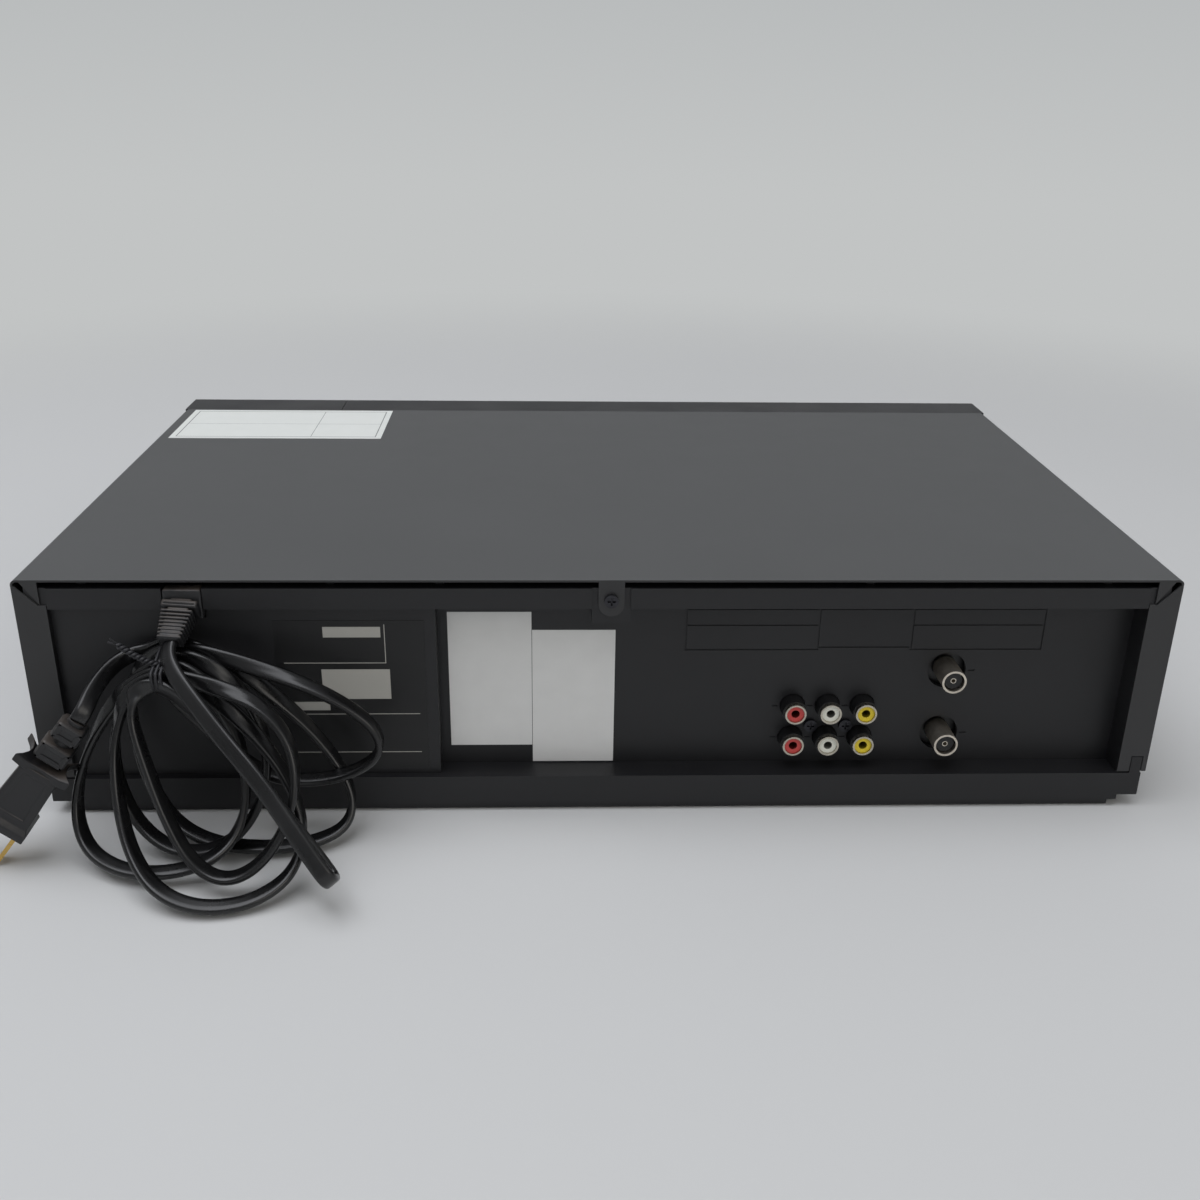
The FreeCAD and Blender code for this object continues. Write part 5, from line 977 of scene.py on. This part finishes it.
# Blank printed label: a ground, a frame line and blank fields, placed in millimetres across and up it
def blankLabel(name, ground, ink, frameBox, fields, roughness, upAxis="Z"):
    material, tree, shader, place = newFinish(name, roughness)
    parts = addNode(tree, "ShaderNodeSeparateXYZ", {"Vector": place})
    across, up = parts.outputs["X"], parts.outputs[upAxis]

    def within(box, grow=0.0):
        low, high = box
        share = 1.0
        for value, least, most in ((across, low[0], high[0]), (up, low[1], high[1])):
            middle, half = (least + most) / 2 * mm, ((most - least) / 2 + grow) * mm
            off = addNode(tree, "ShaderNodeMath", {0: value, 1: middle}, operation="SUBTRACT")
            away = addNode(tree, "ShaderNodeMath", {0: off.outputs[0]}, operation="ABSOLUTE")
            inside = addNode(tree, "ShaderNodeMath", {0: away.outputs[0], 1: half}, operation="LESS_THAN")
            both = addNode(tree, "ShaderNodeMath", {0: share, 1: inside.outputs[0]}, operation="MULTIPLY")
            share = both.outputs[0]
        return share

    printed = 0.0
    if frameBox:
        outer, inner = within(frameBox, frameLineHalf), within(frameBox, -frameLineHalf)
        line = addNode(tree, "ShaderNodeMath", {0: outer, 1: inner}, operation="SUBTRACT")
        printed = line.outputs[0]
    for field in fields:
        more = addNode(tree, "ShaderNodeMath", {0: printed, 1: within(field)}, operation="MAXIMUM")
        printed = more.outputs[0]
    paper = addNode(tree, "ShaderNodeTexNoise", {"Vector": place, "Scale": 1000 / 9, "Detail": 6.0})
    base = addNode(
        tree,
        "ShaderNodeMix",
        {0: paper.outputs["Fac"], 6: linear(ground[0]), 7: linear(ground[1])},
        data_type="RGBA",
    )
    inked = addNode(
        tree, "ShaderNodeMix", {0: printed, 6: base.outputs[2], 7: linear(ink)}, data_type="RGBA"
    )
    tree.links.new(inked.outputs[2], shader.inputs["Base Color"])
    grainBump(tree, shader, place, size=0.9, height=0.004)
    return material


print("finishes ready")

pvc = flexiblePvc()
rubbedAndSheened = rubbedPvcWithPaintedSheen()
leadPiece, leadLine = sweptLead(pvc)
reliefPiece = strainRelief(rubbedAndSheened)
plugPiece = mainsPlug(rubbedAndSheened)
tiePiece = leadTie(mouldedPlastic("twist_tie_plastic", "17171a", "242428", (0.35, 0.5), 0.5, 0.01))
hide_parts("mains_lead")
print("lead, plug, relief and tie made")

cabinet = mouldedPlastic("cabinet_polystyrene", "121214", "1b1b1d", (0.42, 0.54), 0.9, 0.014)
bezel = mouldedPlastic("bezel_polystyrene", "19191b", "202023", (0.3, 0.4), 0.7, 0.008)
keys = mouldedPlastic("button_abs", "2b2b2f", "343438", (0.28, 0.38), 0.6, 0.006)
sheetZinc = zincPlate()
drumAxis = (-4 * mm, 62 * mm)
capstanAxis = (40 * mm, 12 * mm)
polishedSteel = platedMetal("ground_bright_steel", "a9a9aa", "d2d2d2", 0.16)
drumAluminium = turnedMetal("turned_drum_aluminium", "c4c6c8", "d0d1d2", drumAxis, 0.18)
flywheel = turnedMetal("turned_flywheel_steel", "a9abad", "b7b8b9", capstanAxis, 0.24)
headMetal = platedMetal("lapped_head_metal", "8b8c8e", "bdbdbe", 0.22)
nickel = platedMetal("nickel_plate", "a39d90", "dcd6c8", 0.24)
brass = platedMetal("rolled_brass", "b4904a", "d9ba74", 0.28)
screwSteel = blackOxide()
rubber = mouldedRubber()
whiteAcetal = acetal("natural_acetal", "d2cec0", "e6e2d6")
greyAcetal = acetal("grey_acetal", "56575a", "66676a")
sockets = polishedPlastic("socket_block_abs", "131314", 0.3, 0.0)
window = polishedPlastic("smoked_acrylic", "0b0b0d", 0.06, 0.5)
tube = polishedPlastic("display_tube_glass", "16211f", 0.05, 0.6)

# Marks printed on the buttons: shape, place across and up from the middle, half size
marks = {
    "thick": 0.14,
    "proud": 0.06,
    "edge": 0.04,
    "barHalf": 0.35,
    "underlineHalf": 0.3,
    "ways": {"right": (1, 0), "left": (-1, 0), "up": (0, 1), "down": (0, -1)},
    "printed": {
        "power_button": [("upright", 0, 0, 1.9)],
        "stop_eject_button": [("square", -3.6, 0, 1.6), ("up", 3.4, 0.5, 2.0), ("level", 3.4, -1.7, 1.8)],
        "record_button": [("disc", 0, 0, 1.5)],
        "play_button": [("right", 0, 0, 2.5)],
        "rewind_button": [("left", -1.3, 0, 1.9), ("left", 1.7, 0, 1.9)],
        "fast_forward_button": [("right", -1.7, 0, 1.9), ("right", 1.3, 0, 1.9)],
        "channel_down_button": [("down", 0, 0.3, 1.8)],
        "channel_up_button": [("up", 0, -0.3, 1.8)],
    },
}


# One mark: a triangle, a disc or a bar with softened edges, facing the front
def markPiece(shape, x, face, z, half):
    thick, proud = marks["thick"], marks["proud"]
    front, back = face - proud, face - proud + thick
    if shape in marks["ways"] or shape == "disc":
        across, up = marks["ways"].get(shape, (0, 1))
        blank = turnedBlank((0, 0), 0, thick, half, 28 if shape == "disc" else 3)
        piece = aimed(blank, (x, back, z), (0, -1, 0), (up, 0, -across))
    else:
        wide = marks["barHalf"] if shape == "upright" else half
        high = marks["underlineHalf"] if shape == "level" else half
        piece = roundedBlock((x - wide, front, z - high), (x + wide, back, z + high), 0)
    return bevelled(piece, marks["edge"], 1)


def buttonMarks(finish):
    for name, shapes in marks["printed"].items():
        corners = [vertex.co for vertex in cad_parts[name].data.vertices]
        face = min(corner.y for corner in corners) / mm
        fronts = [corner for corner in corners if corner.y < (face + 0.1) * mm]
        x, z = [
            (min(corner[way] for corner in fronts) + max(corner[way] for corner in fronts)) / 2 / mm
            for way in (0, 2)
        ]
        pieces = [markPiece(shape, x + right, face, z + up, half) for shape, right, up, half in shapes]
        joined(name.replace("_button", "_mark"), pieces, finish, body=name)


buttonMarks(mouldedPlastic("pad_printed_ink", "b4b4b1", "c2c2bf", (0.45, 0.6), 0.4, 0.003))
print("button marks made")

# Blank fields and ruled lines in place of the rating label's text
labelFields = [
    ((84.0, 73.9), (105.3, 78.2)),
    ((81.2, 48.2), (106.8, 60.7)),
    ((104.5, 43.4), (122.0, 47.0)),
    ((82.4, 63.2), (120.5, 63.5)),
    ((82.4, 63.2), (82.7, 79.2)),
    ((70.6, 41.6), (120.5, 41.9)),
    ((70.6, 25.0), (120.5, 25.3)),
]

# Frame and two ruled lines of the cover's label
topLabelFrame = ((108, -101), (206, -53.3))
topLabelLines = [((139.8, -101), (140.1, -53.3)), ((108, -77.2), (206, -76.9))]

topLabel = ("white_satin_label", ("e6e9e4", "edefeb"), "8f908e", topLabelFrame, topLabelLines)
foilLabel = ("black_foil_label", ("070708", "0d0d0e"), "a9a7a0", None, labelFields)
paperSticker = ("white_paper_sticker", ("d5d5d3", "dededc"), "9a9a98", None, [])

# Each finish and the frame's nodes that have it
nodesByFinish = [
    (stovedPaint(), ["top_cover"]),
    (cabinet, ["base_frame", "rear_panel"]),
    (bezel, ["front_panel", "control_panel", "cassette_door"]),
    (keys, [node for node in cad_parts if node.endswith("_button")]),
    (window, ["display_window"]),
    (tube, ["display_tube"]),
    (sheetZinc, ["bottom_plate", "deck_plate", "left_bracket", "right_bracket"]),
    (sheetZinc, ["carriage_slides", "cassette_holder", "idler_arm", "pinch_arm"]),
    (polishedSteel, ["door_spring", "loading_motor", "supply_guide", "takeup_guide"]),
    (screwSteel, ["screws"]),
    (rubber, ["feet", "drive_belt", "pinch_roller"]),
    (drumAluminium, ["lower_drum", "upper_drum"]),
    (flywheel, ["capstan"]),
    (headMetal, ["capstan_housing", "erase_head", "audio_control_head"]),
    (whiteAcetal, ["cam_gear", "supply_reel", "takeup_reel"]),
    (greyAcetal, ["clutch_pulley", "idler_wheel", "motor_worm"]),
    (circuitBoard("upright_circuit_board", boards["uprightFace"], "Y"), ["front_board"]),
    (circuitBoard("main_circuit_board", boards["flatFace"], "Z"), ["main_board"]),
    (circuitBoard("power_circuit_board", boards["flatFace"], "Z"), ["power_board"]),
    (shadedCan(), ["tuner_can"]),
    (antennaMetal(), ["antenna_sockets"]),
    (sockets, ["jack_block"]),
    (nickel, ["jack_rings"]),
    (insertPlastic(), ["jack_inserts"]),
    (blankLabel(*foilLabel, 0.45), ["rating_label"]),
    (blankLabel(*paperSticker, 0.6), ["white_stickers"]),
    (blankLabel(*topLabel, 0.45, "Y"), ["top_label"]),
    (pvc, ["mains_lead", "plug", "strain_relief", "twist_tie"]),
    (brass, ["plug_blades"]),
]
for finish, nodes in nodesByFinish:
    for node in nodes:
        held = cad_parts[node].data.materials
        held.clear()
        held.append(finish)
print("finishes given to the frame's nodes")

studio = {
    "radius": 3.2,
    "sides": 96,
    "rim": 1.2,
    "curve": 0.8,
    "curveSteps": 20,
    "ambient": 0.4,
    "near": 0.5,
    "far": 1.1,
    "low": "c2c4c4",
    "high": "a7abad",
    "worldLight": "e1e3e6",
    # each lamp: its place, what it faces, its size, its power in watts and its colour
    "lamps": {
        "overheadSoftbox": ((0.5, 0.4, 2.2), (0, 0, 0), (2.4, 1.8), 36, "f7f9ff"),
        "cameraSideFill": ((-1.4, 1.9, 1.3), (0, 0, 0.05), (1.6, 1.2), 9, "fffaf2"),
    },
}


# Pale paper: shaded round the object, and further off a level tone that darkens upwards
def backdropPaper():
    paper, tree, shader, place = newFinish("matt_backdrop_paper", 0.8)
    patchyTone(tree, shader, place, "d0d1d0", "d7d7d6", patch=900)
    height = addNode(tree, "ShaderNodeSeparateXYZ", {"Vector": place}).outputs["Z"]
    rise = addNode(tree, "ShaderNodeMapRange", {"Value": height, "From Max": studio["rim"]})
    tone = addNode(
        tree,
        "ShaderNodeMix",
        {0: rise.outputs["Result"], 6: linear(studio["low"]), 7: linear(studio["high"])},
        data_type="RGBA",
    )
    glow = addNode(tree, "ShaderNodeEmission", {"Color": tone.outputs[2]})
    away = addNode(tree, "ShaderNodeVectorMath", {0: place}, operation="LENGTH")
    share = addNode(
        tree,
        "ShaderNodeMapRange",
        {"Value": away.outputs["Value"], "From Min": studio["near"], "From Max": studio["far"]},
        interpolation_type="SMOOTHSTEP",
    )
    seen = addNode(tree, "ShaderNodeLightPath").outputs["Is Camera Ray"]
    level = addNode(tree, "ShaderNodeMath", {0: share.outputs["Result"], 1: seen}, operation="MULTIPLY")
    both = addNode(
        tree, "ShaderNodeMixShader", {0: level.outputs[0], 1: shader.outputs[0], 2: glow.outputs[0]}
    )
    tree.links.new(both.outputs[0], tree.nodes["Material Output"].inputs["Surface"])
    return paper


# One pale sheet: a round floor whose rim curves up all the way round
def backdrop():
    deselectAll()
    bpy.ops.mesh.primitive_circle_add(vertices=studio["sides"], radius=studio["radius"], fill_type="NGON")
    sheet = bpy.context.active_object
    sheet.name = "backdrop"
    editMode("SELECT")
    bpy.ops.mesh.region_to_loop()
    bpy.ops.mesh.extrude_edges_move(TRANSFORM_OT_translate={"value": (0, 0, studio["rim"])})
    objectMode()
    bend = sheet.modifiers.new("curve", "BEVEL")
    bend.width = studio["curve"]
    bend.segments = studio["curveSteps"]
    bend.limit_method = "ANGLE"
    bend.angle_limit = math.radians(60)
    bpy.ops.object.modifier_apply(modifier=bend.name)
    bpy.ops.object.shade_smooth()
    sheet.data.materials.append(backdropPaper())


def softLight(name, place, target, size, power, colour):
    data = bpy.data.lights.new(name, "AREA")
    data.shape = "RECTANGLE"
    data.size, data.size_y = size
    data.energy = power
    data.color = linear(colour)[:3]
    lamp = bpy.data.objects.new(name, data)
    bpy.context.scene.collection.objects.link(lamp)
    lamp.location = place
    lamp.rotation_euler = (Vector(target) - Vector(place)).to_track_quat("-Z", "Y").to_euler()


def studioWorld():
    world = bpy.data.worlds.new("paleStudio")
    world.use_nodes = True
    bpy.context.scene.world = world
    tree = world.node_tree
    background = tree.nodes["Background"]
    path = addNode(tree, "ShaderNodeLightPath")
    colour = addNode(
        tree,
        "ShaderNodeMix",
        {0: path.outputs["Is Camera Ray"], 6: linear(studio["worldLight"]), 7: linear(studio["high"])},
        data_type="RGBA",
    )
    strength = addNode(
        tree,
        "ShaderNodeMapRange",
        {"Value": path.outputs["Is Camera Ray"], "To Min": studio["ambient"], "To Max": 1},
    )
    tree.links.new(colour.outputs[2], background.inputs["Color"])
    tree.links.new(strength.outputs["Result"], background.inputs["Strength"])


backdrop()
studioWorld()
for lamp, settings in studio["lamps"].items():
    softLight(lamp, *settings)
bpy.context.scene.view_settings.view_transform = "Standard"
print("studio ready")
